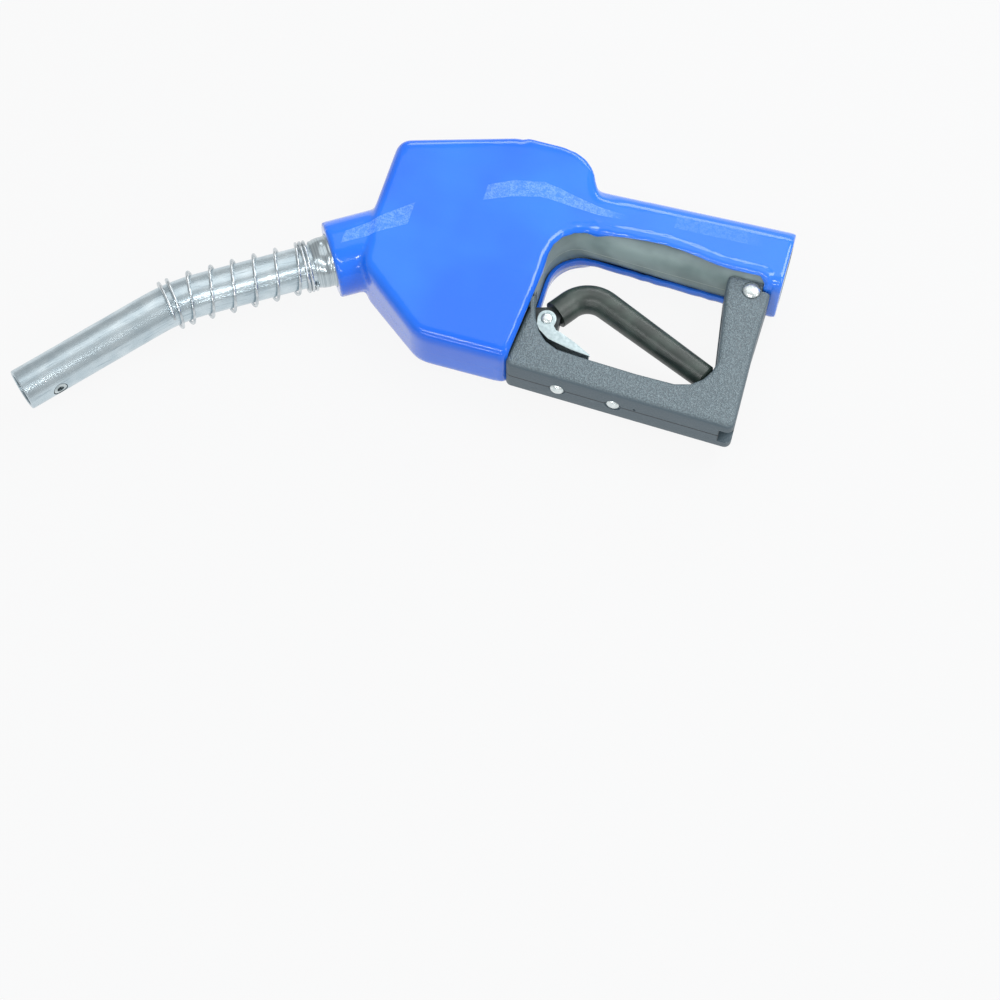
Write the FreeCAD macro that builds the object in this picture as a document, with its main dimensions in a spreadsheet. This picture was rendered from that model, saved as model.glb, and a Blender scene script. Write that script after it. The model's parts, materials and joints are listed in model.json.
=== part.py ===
"""Automatic shut-off fuel nozzle, in millimetres.

The nozzle lies on its side. The origin is the centre of the inlet mouth, in the nozzle's
plane of symmetry. +X leaves the inlet towards the hose, +Y is the top of the nozzle in use
and +Z is its left side, which faces up here.
"""
import FreeCAD, Part
import Sketcher
import math
import os
import re

SIZES = {
    # Running and seating clearances
    "run_gap": 0.1,
    "fit_gap": 0.05,
    "face_gap": 0.2,
    # How far a drill or cutter runs past what it cuts
    "past": 1,
    # Scuff cover, a dipped skin over the casting
    "cover_wall": 1.8,
    "cover_gap": 0.3,
    "head_front": 203,
    "head_front_top": 9.5,
    "head_front_low": 6,
    "head_cheek": 62,
    "cheek_back": 6,
    "head_shoulder": 145,
    "head_top": 29.3,
    "head_crown": 121,
    "head_nape": 108.5,
    "head_nape_top": 22.5,
    "neck_wall": 10.5,
    "head_neck_top": 8.5,
    "head_rear": 111,
    "head_base": 90.5,
    "head_chin": 160.5,
    "head_round": 8,
    "head_half": 20.5,
    "head_half_top": 18,
    "head_half_base": 15.5,
    "flank_low": 45,
    "flank_round": 5,
    "nose_out": 12.5,
    "nose_y": 55.5,
    "nose_lean": 33.5,
    "nose_radius": 18.9,
    "nose_length": 48,
    "handle_rear_radius": 18,
    "handle_front_radius": 15.4,
    "handle_root": 11,
    "nose_round": 9,
    "handle_round": 15.5,
    "throat": 17,
    "window_half": 13,
    "window_top": 8,
    "window_base": 88.4,
    "window_rear_half": 9.5,
    "ring_length": 3.7,
    # Casting: inlet, handle bore and main valve chambers
    "inlet_thread_radius": 12.06,
    "inlet_thread_depth": 18,
    "handle_bore_radius": 9,
    "valve_x": 121,
    "chamber_radius": 11,
    "chamber_floor": 8,
    "cap_seat": 9.5,
    "cap_radius": 11.5,
    "cap_height": 3.5,
    "seat_radius": 7.5,
    "seat_depth": 4,
    "lower_radius": 10,
    "lower_floor": 27,
    "passage_y": 19.5,
    "passage_radius": 7,
    "packing_top": 30,
    "packing_radius": 5,
    "packing_height": 8,
    "nut_radius": 6.5,
    "nut_height": 8,
    "slot_half": 5.2,
    "slot_front": 147,
    "slot_base": 75,
    "lever_clear": 1.8,
    "lug_half": 4,
    "lug_front": 22,
    "lug_rear": 5.5,
    "lug_depth": 9,
    "tab_length": 9,
    "tab_height": 7,
    "tab_sunk": 3.5,
    # Latch plunger, its sleeve and the diaphragm above it
    "pivot_x": 138,
    "pivot_y": 62,
    "plunger_lean": 111.95,
    "plunger_radius": 5,
    "plunger_top": 52,
    "tongue_half": 2,
    "tongue_top": 9,
    "tongue_fillet": 1,
    "pin_room": 1,
    "plunger_collar": 7.3,
    "collar_low": 30,
    "collar_height": 3,
    "plunger_well": 12.2,
    "well_radius": 7.6,
    "sleeve_low": 36,
    "sleeve_top": 60,
    "sleeve_radius": 7.5,
    "flow_radius": 14,
    "flow_top": 56,
    "column_radius": 9.2,
    "pin_radius": 2.5,
    "pin_low": 46,
    "ball_radius": 1.2,
    "ball_level": 48,
    "vacuum_radius": 13.2,
    "diaphragm_level": 70,
    "diaphragm_radius": 14.8,
    "diaphragm_wall": 1.2,
    "plate_radius": 9,
    "plate_wall": 1.5,
    "bonnet_height": 9,
    "bonnet_wall": 2,
    # Main valve
    "stem_radius": 3,
    "stem_tip": 54.8,
    "stem_chamfer": 1,
    "poppet_radius": 9.5,
    "poppet_wall": 3,
    "seal_radius": 9,
    "seal_wall": 2.4,
    "stem_nut_radius": 5,
    "stem_nut_height": 3,
    # Lever, its sleeve and the hold-open clip
    "lever_half": 4,
    "lever_top": 55,
    "lever_low": 69,
    "fork_half": 2.2,
    "pivot_boss": 5.5,
    "fork_front": 7,
    "fork_back": 6.5,
    "lever_neck": 2,
    "lever_rise": 3,
    "grip_tuck": 3,
    "grip_tuck_y": 2,
    "grip_foot": 3.5,
    "lever_heel": 14,
    "lever_keel": 1,
    "lever_pin_radius": 2,
    "grip_start_x": 101.5,
    "grip_start_y": 53.5,
    "grip_bend_x": 90,
    "grip_bend_y": 37,
    "grip_end_x": 24,
    "grip_end_y": 66,
    "grip_bend_radius": 14,
    "rod_radius": 4,
    "grip_radius": 7,
    "grip_end_radius": 6.2,
    "grip_cap": 1.6,
    "clip_x": 103.8,
    "clip_y": 61.9,
    "clip_inner": 8.7,
    "clip_outer": 10,
    "clip_eye": 5.2,
    "clip_rivet_radius": 2.6,
    "clip_head_radius": 4,
    "clip_head_height": 1.5,
    "clip_tip_x": 79,
    "clip_tip_y": 75.3,
    "clip_tip_height": 1.3,
    "clip_brow_x": 3.6,
    "clip_brow_y": 3.6,
    "clip_crest_x": 3.1,
    "clip_crest_y": 4.2,
    "clip_bridge_x": 4.7,
    "clip_bridge_y": 1.5,
    "clip_web_x": 4,
    "clip_web_y": 10.1,
    "clip_chin_x": 2,
    "clip_chin_y": 6.5,
    "clip_floor": 9,
    "clip_lip": 4,
    "clip_lip_height": 1.2,
    "spacer_radius": 3.9,
    # Lever guard in two halves
    "guard_half": 12,
    "guard_front_base": 91.9,
    "guard_rear_base": 94.4,
    "guard_rear": 4,
    "guard_round": 5,
    "guard_tip_y": 49,
    "guard_floor": 77.5,
    "guard_leg": 20,
    "leg_head": 6,
    "leg_waist": 1,
    "leg_waist_y": 47.5,
    "tip_land": 10,
    "tip_land_x": 0.7,
    "opening_1_x": 3,
    "opening_1_y": 8,
    "opening_2_x": 8,
    "opening_2_y": 1,
    "opening_3_x": 15,
    "opening_3_y": -1.2,
    "opening_4_x": 35,
    "opening_4_y": -1.2,
    "opening_5_x": 62,
    "opening_5_y": 0,
    "opening_6_x": 77,
    "opening_6_y": 1.2,
    "opening_7_x": 83,
    "opening_7_y": 5.5,
    "opening_8_x": 88,
    "opening_8_y": 12,
    "lever_room_front": 14,
    "lever_room_rear": 6,
    "lever_room_wall": 8,
    "lever_room": 0.5,
    "clip_slot_half": 10.4,
    "clip_slot_front": 110.5,
    "clip_slot_rear": 74,
    "clip_slot_base": 86,
    "rear_rivet_x": 13.6,
    "rear_rivet_drop": 2.4,
    "rear_rivet_radius": 3,
    "rear_head_radius": 4.3,
    "rear_head_height": 1.8,
    "front_pin_radius": 2,
    "front_pin_half": 9,
    "front_pin_inset": 3.5,
    "front_pin_rise": 3,
    "rack_front": 103.2,
    "rack_rear": 57,
    "rack_half": 4,
    "rack_seat": 89.5,
    "rack_wall": 1.5,
    "rack_tooth": 2.8,
    "tooth_pitch": 4.2,
    "rack_rivet_1_x": 90.1,
    "rack_rivet_2_x": 62.4,
    "rack_rivet_radius": 1.6,
    "rack_head_radius": 3.5,
    "rack_head_seat": 91.8,
    "rack_head_height": 1.9,
    "rack_head_inner": 2.6,
    "rack_tail": 0.8,
    # Spout and what sits in and on it
    "spout_radius": 10.3,
    "spout_wall": 1.6,
    "spout_inset": 21.3,
    "spout_run": 77.6,
    "spout_bend": 17.5,
    "spout_bend_radius": 90,
    "spout_tip_run": 85.7,
    "collar_radius": 13,
    "collar_front_radius": 11.6,
    "collar_reach": 9,
    "collar_inset": 16,
    "ring_bore_radius": 12,
    "ring_bore_end": 21.5,
    "nose_bore_radius": 11,
    "nose_bore_end": 57,
    "lock_screw_radius": 2,
    "lock_screw_level": 8,
    "lock_screw_sunk": 1,
    "vent_radius": 2.5,
    "vent_wall": 0.8,
    "vent_offset": 5.7,
    "port_back": 15.7,
    "port_radius": 3.3,
    "port_hole_radius": 1.75,
    "port_sunk": 0.3,
    "guide_level": 21.8,
    "guide_wall": 3.4,
    "spoke_tuck": 0.5,
    "spoke_half": 0.8,
    "hub_radius": 3.6,
    "check_stem_radius": 2,
    "check_tail": 1,
    "check_radius": 8.8,
    "check_wall": 2.5,
    "check_seat_level": 38,
    "check_seat_wall": 4,
    "check_seat_bore": 7,
    # Springs
    "anchor_wire": 0.8,
    "anchor_radius": 12.1,
    "anchor_pitch": 10.6,
    "anchor_close_pitch": 1.9,
    "anchor_turns": 5.5,
    "valve_wire": 0.7,
    "valve_coil_radius": 6.4,
    "plunger_wire": 0.6,
    "plunger_coil_radius": 6.4,
    "check_wire": 0.5,
    "check_coil_radius": 5.2,
    "diaphragm_wire": 0.5,
    "diaphragm_coil_radius": 5.5,
    "clip_wire": 0.6,
    "clip_coil_radius": 3.5,
    # Inlet strainer
    "strainer_radius": 8.6,
    "strainer_wall": 0.8,
    "strainer_length": 30,
    "strainer_flange": 10.5,
    "flange_wall": 1.5,
}

doc = FreeCAD.newDocument("fuel_nozzle")
sheet = doc.addObject("Spreadsheet::Sheet", "dims")
for row, (alias, value) in enumerate(SIZES.items(), 1):
    sheet.set(f"A{row}", alias)
    sheet.set(f"B{row}", str(value))
    sheet.setAlias(f"B{row}", alias)
doc.recompute()

V = FreeCAD.Vector
PIECES = []


def read(alias):
    """The value of one cell as a plain number."""
    return float(sheet.get(alias))


def formula(text):
    """An expression in which each alias is looked up in the sheet."""
    return re.sub(r"[a-z][a-z_0-9]*", lambda m: "dims." + m[0] if m[0] in SIZES else m[0], text)


def bind(item, **properties):
    """Bind properties of a document object to expressions."""
    for name, text in properties.items():
        item.setExpression(name.replace("_of_", "."), formula(text))
    return item


# Frames: each turns +Z into the direction that its pieces lie along
HANDLE = "placement(vector(0; 0; 0); rotation(180; 90; 0))"
NOSE = "placement(vector(-head_front - nose_out; -nose_y; 0); rotation(nose_lean; 90; 0))"
PLUNGER = "placement(vector(-pivot_x; -pivot_y; 0); rotation(plunger_lean; 90; 0))"
VALVE = "placement(vector(-valve_x; 0; 0); rotation(90; 90; 0))"
PASSAGE = "placement(vector(-valve_x; -passage_y; 0); rotation(180; 90; 0))"
WORLD = "placement(vector(0; 0; 0); rotation(0; 0; 0))"
SIDEWAYS = "placement(vector(0; 0; 0); rotation(0; 90; 0))"


def across(x, y):
    """A frame along Z through a point of the symmetry plane."""
    return f"placement(vector({x}; {y}; 0); rotation(0; 0; 0))"


def upward(x):
    """A frame along Y through a point of the handle axis."""
    return f"placement(vector({x}; 0; 0); rotation(90; 90; 0))"


def shift(frame, along, side="0", turn="0"):
    """A frame moved along its own axis, turned about it and moved sideways."""
    return f"{frame} * placement(vector(0; 0; {along}); rotation({turn}; 0; 0)) " \
           f"* placement(vector({side}; 0; 0); rotation(0; 0; 0))"


def rod(frame, radius, start, end):
    """A round rod or drill between two levels of a frame."""
    item = doc.addObject("Part::Cylinder", "rod")
    return bind(item, Radius=radius, Height=f"({end}) - ({start})", Placement=shift(frame, f"({start})"))


def cone(frame, radius_1, radius_2, start, end):
    item = doc.addObject("Part::Cone", "cone")
    return bind(item, Radius1=radius_1, Radius2=radius_2, Height=f"({end}) - ({start})",
                Placement=shift(frame, f"({start})"))


def block(x_low, x_high, y_low, y_high, half):
    """A box that lies evenly about the symmetry plane."""
    item = doc.addObject("Part::Box", "block")
    return bind(item, Length=f"({x_high}) - ({x_low})", Width=f"({y_high}) - ({y_low})",
                Height=f"2 * ({half})",
                Placement=f"placement(vector({x_low}; {y_low}; -({half})); rotation(0; 0; 0))")


def many(kind, items):
    item = doc.addObject("Part::" + kind, kind.lower())
    item.Shapes = list(items)
    return item


def fuse(*items):
    return many("MultiFuse", items)


def common(*items):
    return many("MultiCommon", items)


def cut(base, *tools):
    item = doc.addObject("Part::Cut", "cut")
    item.Base = base
    item.Tool = tools[0] if len(tools) == 1 else fuse(*tools)
    return item


def piece(label, item):
    """Name a finished sub-part."""
    item.Label = label
    PIECES.append(item)
    return item


def polygon(sketch, points):
    """A closed outline whose corners are bound to expressions."""
    count = len(points)
    corners = [V(math.cos(2 * math.pi * i / count), math.sin(2 * math.pi * i / count), 0)
               for i in range(count)]
    sketch.addGeometry([Part.LineSegment(corners[i], corners[(i + 1) % count]) for i in range(count)],
                       False)
    sketch.addConstraint([Sketcher.Constraint("Coincident", i, 2, (i + 1) % count, 1)
                          for i in range(count)])
    for i, (across_text, up_text) in enumerate(points):
        for kind, text, start in (("DistanceX", across_text, corners[i].x),
                                  ("DistanceY", up_text, corners[i].y)):
            index = sketch.addConstraint(Sketcher.Constraint(kind, -1, 1, i, 1, start))
            sketch.setExpression(f"Constraints[{index}]", formula(text))


def turned(frame, outline):
    """A turned piece from its half section, given as radius and level."""
    body = doc.addObject("PartDesign::Body", "turned")
    sketch = body.newObject("Sketcher::SketchObject", "half_section")
    plane = [f for f in body.Origin.OriginFeatures if f.Role == "XZ_Plane"][0]
    sketch.AttachmentSupport = [(plane, "")]
    sketch.MapMode = "FlatFace"
    polygon(sketch, outline)
    turn = body.newObject("PartDesign::Revolution", "revolution")
    turn.Profile = sketch
    turn.ReferenceAxis = (sketch, ["V_Axis"])
    turn.Angle = 360
    return bind(body, Placement=frame)


def tube(frame, bore, radius, start, end):
    """A turned ring or bush."""
    return turned(frame, [(bore, start), (radius, start), (radius, end), (bore, end)])


def prism(outline, half, frame=WORLD):
    """A prism that lies evenly about the plane of its outline."""
    sketch = doc.addObject("Sketcher::SketchObject", "outline")
    polygon(sketch, outline)
    bind(sketch, Placement=frame)
    return extruded(sketch, half)


def extruded(profile, half):
    item = doc.addObject("Part::Extrusion", "prism")
    item.Base = profile
    item.DirMode = "Normal"
    item.Solid = True
    item.Symmetric = True
    return bind(item, LengthFwd=f"2 * ({half})")


def soft_prism(outline, half, round_size, inset="0", frame=WORLD):
    """A prism with rounded outer corners, set in from its outline all round."""
    sketch = doc.addObject("Sketcher::SketchObject", "outline")
    polygon(sketch, outline)
    bind(sketch, Placement=frame)
    core = doc.addObject("Part::Offset2D", "core")
    core.Source = sketch
    core.Join = 2
    bind(core, Value=f"-({round_size})")
    skin = doc.addObject("Part::Offset2D", "skin")
    skin.Source = core
    skin.Join = 0
    bind(skin, Value=f"{round_size} - ({inset})")
    return extruded(skin, half)


SECTION = "placement(vector(0; 0; 0); rotation(90; 0; 90))"


def swept(path, radius):
    """A round bar along a wire."""
    start = path.Edges[0].valueAt(path.Edges[0].FirstParameter)
    along = path.Edges[0].tangentAt(path.Edges[0].FirstParameter)
    profile = Part.Wire([Part.makeCircle(radius, start, along)])
    pipe = Part.BRepOffsetAPI.MakePipeShell(path)
    pipe.setTransitionMode(1)
    pipe.add(profile)
    pipe.build()
    pipe.makeSolid()
    return pipe.shape()


def shaped(shape):
    item = doc.addObject("Part::Feature", "shaped")
    item.Shape = shape
    return item


def bent_path(start, corner, end, radius):
    """Two straight runs joined by a tangent arc."""
    first = (start - corner).normalize()
    second = (end - corner).normalize()
    half_angle = first.getAngle(second) / 2
    reach = radius / math.tan(half_angle)
    bisector = (first + second).normalize()
    near, far = corner + first * reach, corner + second * reach
    middle = corner + bisector * (radius / math.sin(half_angle) - radius)
    return Part.Wire([Part.LineSegment(start, near).toShape(),
                      Part.Arc(near, middle, far).toShape(),
                      Part.LineSegment(far, end).toShape()])


def coil(frame, radius, wire, levels):
    """A wire spring in short straight runs; levels gives the height after each twelfth of a turn."""
    points = [V(radius * math.cos(math.pi * i / 6), radius * math.sin(math.pi * i / 6), level)
              for i, level in enumerate(levels)]
    item = shaped(swept(Part.makePolygon(points), wire))
    return bind(item, Placement=frame)


def even_levels(start, end, turns):
    steps = 12 * turns
    return [start + (end - start) * i / steps for i in range(steps + 1)]


# ---------------------------------------------------------------- cover and casting
THROAT_ARC = [(1, 0), (0.45, 0.2), (0.15, 0.55), (0, 1.1)]
HEAD = [("-head_front", "-head_front_low"), ("-head_front", "head_front_top"),
        ("-head_shoulder", "head_top"), ("-head_crown", "head_top"),
        ("-head_nape", "head_nape_top"),
        ("-valve_x + cap_radius + neck_wall", "head_neck_top"),
        *[(f"-head_rear + throat * {along}", f"-handle_front_radius - throat * {down}")
          for along, down in THROAT_ARC], ("-head_rear", "-head_base"),
        ("-head_chin", "-head_base"), ("-head_front + cheek_back", "-head_cheek")]
FLANKS = [("-head_base - cover_wall", "-head_half_base"), ("-flank_low", "-head_half"),
          ("0", "-head_half"), ("head_top + cover_wall", "-head_half_top"),
          ("head_top + cover_wall", "head_half_top"), ("0", "head_half"),
          ("-flank_low", "head_half"), ("-head_base - cover_wall", "head_half_base")]


def square(half):
    return [(f"-{half}", f"-{half}"), (half, f"-{half}"), (half, half), (f"-{half}", half)]


def handle_bar(inset):
    """The handle's rounded square bar, which widens towards the inlet."""
    bar = soft_prism(square("handle_rear_radius"), "1", "handle_round", inset, HANDLE)
    bar.Symmetric = False
    length = "head_rear - throat + handle_root"
    slope = f"(handle_rear_radius - handle_front_radius) / ({length})"
    return bind(bar, LengthFwd=length, TaperAngle=f"-atan({slope})")


def blank(inset):
    """Head, nose and handle as one solid, set in from the cover's outer face."""
    head = common(soft_prism(HEAD, "2 * head_half", "head_round", inset),
                  soft_prism(FLANKS, "head_front + cover_wall", "flank_round", inset, SECTION))
    nose = soft_prism(square("nose_radius"), f"(nose_length - ({inset})) / 2", "nose_round", inset,
                      shift(NOSE, f"(nose_length + {inset}) / 2"))
    return fuse(head, nose, handle_bar(inset))


def window():
    """The opening in the cover's underside and rear face, where the casting shows."""
    rear = block("-head_rear - 2 * cover_wall", "-head_rear + throat", "-window_base", "-window_top",
                 "window_half")
    under = prism([("-head_rear", "-window_half"), ("-ring_length", "-window_rear_half"),
                   ("-ring_length", "window_rear_half"), ("-head_rear", "window_half")],
                  "handle_rear_radius",
                  "placement(vector(0; -handle_rear_radius - window_top; 0); rotation(0; 0; 90))")
    return fuse(rear, under)


piece("scuff_cover", cut(blank("0"), blank("cover_wall"), window(),
                         rod(NOSE, "collar_radius + cover_gap", "-past", "cover_wall + past")))

LUG_BASE = "-handle_rear_radius - lug_depth"
TAB_BASE = "-head_base + tab_sunk"
REAR_RIVET = across("-rear_rivet_x", "-handle_rear_radius - rear_rivet_drop")
FRONT_PIN = across("-head_rear + front_pin_inset", TAB_BASE + " + front_pin_rise")
casting = fuse(
    blank("cover_wall + cover_gap"),
    block("-lug_front", "-lug_rear", LUG_BASE, "-handle_bore_radius", "lug_half"),
    block("-head_rear - cover_wall - past", "-head_rear - cover_wall + tab_length", TAB_BASE,
          TAB_BASE + " + tab_height", "lug_half"))
drills = [
    rod(HANDLE, "inlet_thread_radius", "-past", "inlet_thread_depth"),
    rod(HANDLE, "strainer_flange + fit_gap", "0", "inlet_thread_depth + flange_wall"),
    rod(HANDLE, "handle_bore_radius", "0", "valve_x"),
    rod(VALVE, "chamber_radius", "-chamber_floor", "cap_seat"),
    rod(VALVE, "cap_radius", "cap_seat", "head_top + past"),
    rod(VALVE, "seat_radius", "-chamber_floor - seat_depth", "0"),
    rod(VALVE, "lower_radius", "-lower_floor", "-chamber_floor - seat_depth"),
    rod(VALVE, "stem_radius + run_gap", "-stem_tip", "-lower_floor + past"),
    rod(VALVE, "packing_radius + fit_gap", "-packing_top - packing_height", "-packing_top"),
    rod(VALVE, "nut_radius + fit_gap", "-packing_top - packing_height - nut_height",
        "-packing_top - packing_height"),
    rod(PASSAGE, "passage_radius", "0", "pivot_x - valve_x + flow_radius"),
    cut(rod(PLUNGER, "flow_radius", "sleeve_low", "flow_top"),
        rod(PLUNGER, "column_radius", "sleeve_low", "flow_top")),
    rod(PLUNGER, "plunger_radius + run_gap", "tongue_top - 2 * past", "plunger_well"),
    rod(PLUNGER, "well_radius", "plunger_well", "sleeve_top + past"),
    rod(PLUNGER, "vacuum_radius", "sleeve_top", "diaphragm_level"),
    rod(PLUNGER, "diaphragm_radius + fit_gap", "diaphragm_level",
        "diaphragm_level + 3 * bonnet_height"),
    rod(NOSE, "collar_radius + fit_gap", "-past", "collar_inset + fit_gap"),
    rod(NOSE, "ring_bore_radius", "0", "ring_bore_end"),
    rod(NOSE, "nose_bore_radius", "0", "nose_bore_end"),
    rod(shift(NOSE, "lock_screw_level") + " * " + SIDEWAYS,
        "lock_screw_radius + fit_gap", "0", "nose_radius"),
    block("-slot_front", "-head_rear + past", "-slot_base", "-lever_top + lever_clear",
          "slot_half"),
    block("-pivot_x + stem_nut_height", "-head_rear + past", "-lever_top",
          "-packing_top - packing_height - nut_height", "slot_half"),
    rod(REAR_RIVET, "rear_rivet_radius", "-lug_half - past", "lug_half + past"),
    rod(FRONT_PIN, "front_pin_radius", "-lug_half - past", "lug_half + past"),
]
piece("body_casting", cut(casting, *drills))

# ---------------------------------------------------------------- inlet strainer
piece("inlet_strainer", turned(HANDLE, [
    ("0", "inlet_thread_depth + strainer_length"),
    ("strainer_radius / 2", "inlet_thread_depth + strainer_length"),
    ("strainer_radius", "inlet_thread_depth + flange_wall"),
    ("strainer_flange", "inlet_thread_depth + flange_wall"),
    ("strainer_flange", "inlet_thread_depth"),
    ("strainer_radius - strainer_wall", "inlet_thread_depth"),
    ("strainer_radius / 2 - strainer_wall", "inlet_thread_depth + strainer_length - strainer_wall"),
    ("0", "inlet_thread_depth + strainer_length - strainer_wall")]))

# ---------------------------------------------------------------- main valve
piece("main_valve_cap", turned(VALVE, [
    ("0", "cap_seat"), ("cap_radius - fit_gap", "cap_seat"),
    ("cap_radius - fit_gap", "cap_seat + cap_height"), ("seat_radius", "cap_seat + cap_height"),
    ("seat_radius", "cap_seat + cap_height / 2"), ("0", "cap_seat + cap_height / 2")]))
piece("main_stem", turned(VALVE, [
    ("0", "-stem_tip"), ("stem_radius - stem_chamfer", "-stem_tip"),
    ("stem_radius", "-stem_tip + stem_chamfer"),
    ("stem_radius", "-chamber_floor + seal_wall + poppet_wall"),
    ("0", "-chamber_floor + seal_wall + poppet_wall")]))
piece("poppet_seal", tube(VALVE, "stem_radius", "seal_radius", "-chamber_floor + fit_gap",
                          "-chamber_floor + seal_wall"))
piece("main_poppet", tube(VALVE, "stem_radius", "poppet_radius", "-chamber_floor + seal_wall",
                          "-chamber_floor + seal_wall + poppet_wall"))
piece("stem_nut", tube(VALVE, "stem_radius", "stem_nut_radius",
                       "-chamber_floor + fit_gap - stem_nut_height", "-chamber_floor + fit_gap"))
piece("stem_packing", tube(VALVE, "stem_radius + run_gap", "packing_radius",
                           "-packing_top - packing_height", "-packing_top"))
piece("packing_nut", tube(VALVE, "stem_radius + run_gap", "nut_radius",
                          "-packing_top - packing_height - nut_height",
                          "-packing_top - packing_height"))
piece("main_valve_spring", coil(VALVE, read("valve_coil_radius"), read("valve_wire"), even_levels(
    read("seal_wall") + read("poppet_wall") - read("chamber_floor") + read("valve_wire"),
    read("cap_seat") - read("valve_wire"), 4)))

# ---------------------------------------------------------------- latch plunger and diaphragm
def ball_drill(number):
    """The hole through the plunger's wall that one latch ball sits in."""
    return rod(shift(PLUNGER, "ball_level", "0", f"{number} * 120") + " * " + SIDEWAYS,
               "ball_radius + fit_gap", "pin_radius / 2", "plunger_radius + past")


round_plunger = turned(PLUNGER, [
    ("0", "-tongue_top / 2"), ("plunger_radius", "-tongue_top / 2"),
    ("plunger_radius", "collar_low"), ("plunger_collar", "collar_low"),
    ("plunger_collar", "collar_low + collar_height"),
    ("plunger_radius", "collar_low + collar_height"), ("plunger_radius", "plunger_top"),
    ("pin_radius + run_gap", "plunger_top"), ("pin_radius + run_gap", "pin_low - pin_room"),
    ("0", "pin_low - pin_room")])
piece("latch_plunger", cut(
    common(round_plunger,
           fuse(block("-head_front", "-head_rear", "-lever_top + tongue_fillet", "head_top",
                      "head_half"),
                block("-pivot_x - tongue_top", "-pivot_x + tongue_top", "-pivot_y - tongue_top",
                      "-lever_top + 2 * tongue_fillet", "tongue_half"))),
    rod(across("-pivot_x", "-pivot_y"), "lever_pin_radius", "-slot_half", "slot_half"),
    *[ball_drill(number) for number in range(3)]))
piece("lever_pin", rod(across("-pivot_x", "-pivot_y"), "lever_pin_radius", "-slot_half + run_gap",
                       "slot_half - run_gap"))
piece("latch_sleeve", tube(PLUNGER, "plunger_radius + run_gap", "sleeve_radius", "sleeve_low",
                           "sleeve_top"))
for number in range(3):
    ball = doc.addObject("Part::Sphere", "ball")
    piece(f"latch_ball_{number + 1}", bind(ball, Radius="ball_radius", Placement=shift(
        PLUNGER, "ball_level", "(plunger_radius + pin_radius) / 2 + run_gap / 2",
        f"{number} * 120")))
piece("plunger_spring", coil(PLUNGER, read("plunger_coil_radius"), read("plunger_wire"), even_levels(
    read("plunger_well") + read("plunger_wire"), read("collar_low") - read("plunger_wire"), 6)))
piece("latch_pin", turned(PLUNGER, [
    ("0", "pin_low"), ("pin_radius", "pin_low"),
    ("pin_radius", "diaphragm_level - plate_wall"), ("plate_radius", "diaphragm_level - plate_wall"),
    ("plate_radius", "diaphragm_level"), ("0", "diaphragm_level")]))
piece("diaphragm", rod(PLUNGER, "diaphragm_radius", "diaphragm_level",
                       "diaphragm_level + diaphragm_wall"))
piece("diaphragm_cap", turned(PLUNGER, [
    ("plate_radius", "diaphragm_level + diaphragm_wall"),
    ("diaphragm_radius", "diaphragm_level + diaphragm_wall"),
    ("diaphragm_radius", "diaphragm_level + diaphragm_wall + bonnet_height"),
    ("0", "diaphragm_level + diaphragm_wall + bonnet_height"),
    ("0", "diaphragm_level + diaphragm_wall + bonnet_height - bonnet_wall"),
    ("plate_radius", "diaphragm_level + diaphragm_wall + bonnet_height - bonnet_wall")]))
piece("diaphragm_spring", coil(
    PLUNGER, read("diaphragm_coil_radius"), read("diaphragm_wire"), even_levels(
        read("diaphragm_level") + read("diaphragm_wall") + read("diaphragm_wire"),
        read("diaphragm_level") + read("diaphragm_wall") + read("bonnet_height")
        - read("bonnet_wall") - read("diaphragm_wire"), 3)))

# ---------------------------------------------------------------- spout
nose_end = V(-read("head_front") - read("nose_out"), -read("nose_y"), 0)
nose_turn = math.radians(read("nose_lean"))
inward = V(math.cos(nose_turn), math.sin(nose_turn), 0)
tip_turn = nose_turn + math.radians(read("spout_bend"))
tip_way = V(-math.cos(tip_turn), -math.sin(tip_turn), 0)
below = V(math.sin(tip_turn), -math.cos(tip_turn), 0)
bend_corner = nose_end - inward * read("spout_run")
tip = bend_corner + tip_way * read("spout_tip_run")


def spout_path(start_level, offset, short):
    """The spout's centre line, or a line beside it towards the underside."""
    low = V(math.sin(nose_turn), -math.cos(nose_turn), 0)
    corner = bend_corner + (low + below).normalize() * (offset / math.cos((tip_turn - nose_turn) / 2))
    return bent_path(nose_end + inward * start_level + low * offset, corner,
                     tip - tip_way * short + below * offset, read("spout_bend_radius"))


port = tip - tip_way * read("port_back")
PORT = "placement(vector({:.6f}; {:.6f}; 0); rotation(nose_lean + spout_bend - 90; 90; 0))".format(
    port.x, port.y)
outer = shaped(swept(spout_path(read("spout_inset"), 0, 0), read("spout_radius")))
inner = shaped(swept(spout_path(read("spout_inset"), 0, 0), read("spout_radius") - read("spout_wall")))
piece("spout_tube", cut(outer, inner, rod(PORT, "port_radius + fit_gap", "0", "2 * spout_radius")))
piece("sensing_port_bush", common(
    tube(PORT, "port_hole_radius", "port_radius", "vent_offset + vent_radius + fit_gap",
         "2 * spout_radius"),
    shaped(swept(spout_path(read("spout_inset"), 0, 0),
                 read("spout_radius") - read("port_sunk")))))
vent = spout_path(read("spout_inset"), read("vent_offset"), read("port_back") - read("port_radius"))
piece("vent_tube", cut(
    shaped(swept(vent, read("vent_radius"))),
    shaped(swept(vent, read("vent_radius") - read("vent_wall"))),
    rod(PORT, "port_hole_radius", "vent_offset", "spout_radius")))
piece("spout_collar", turned(NOSE, [
    ("spout_radius + fit_gap", "-collar_reach"), ("collar_front_radius", "-collar_reach"),
    ("collar_radius", "0"), ("collar_radius", "collar_inset"),
    ("spout_radius + fit_gap", "collar_inset")]))
ring = doc.addObject("Part::Torus", "ring")
piece("spout_o_ring", bind(
    ring, Radius1="(ring_bore_radius + spout_radius) / 2",
    Radius2="(ring_bore_radius - spout_radius) / 2 - fit_gap",
    Placement=shift(NOSE, "ring_bore_end - (ring_bore_radius - spout_radius)")))
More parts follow.
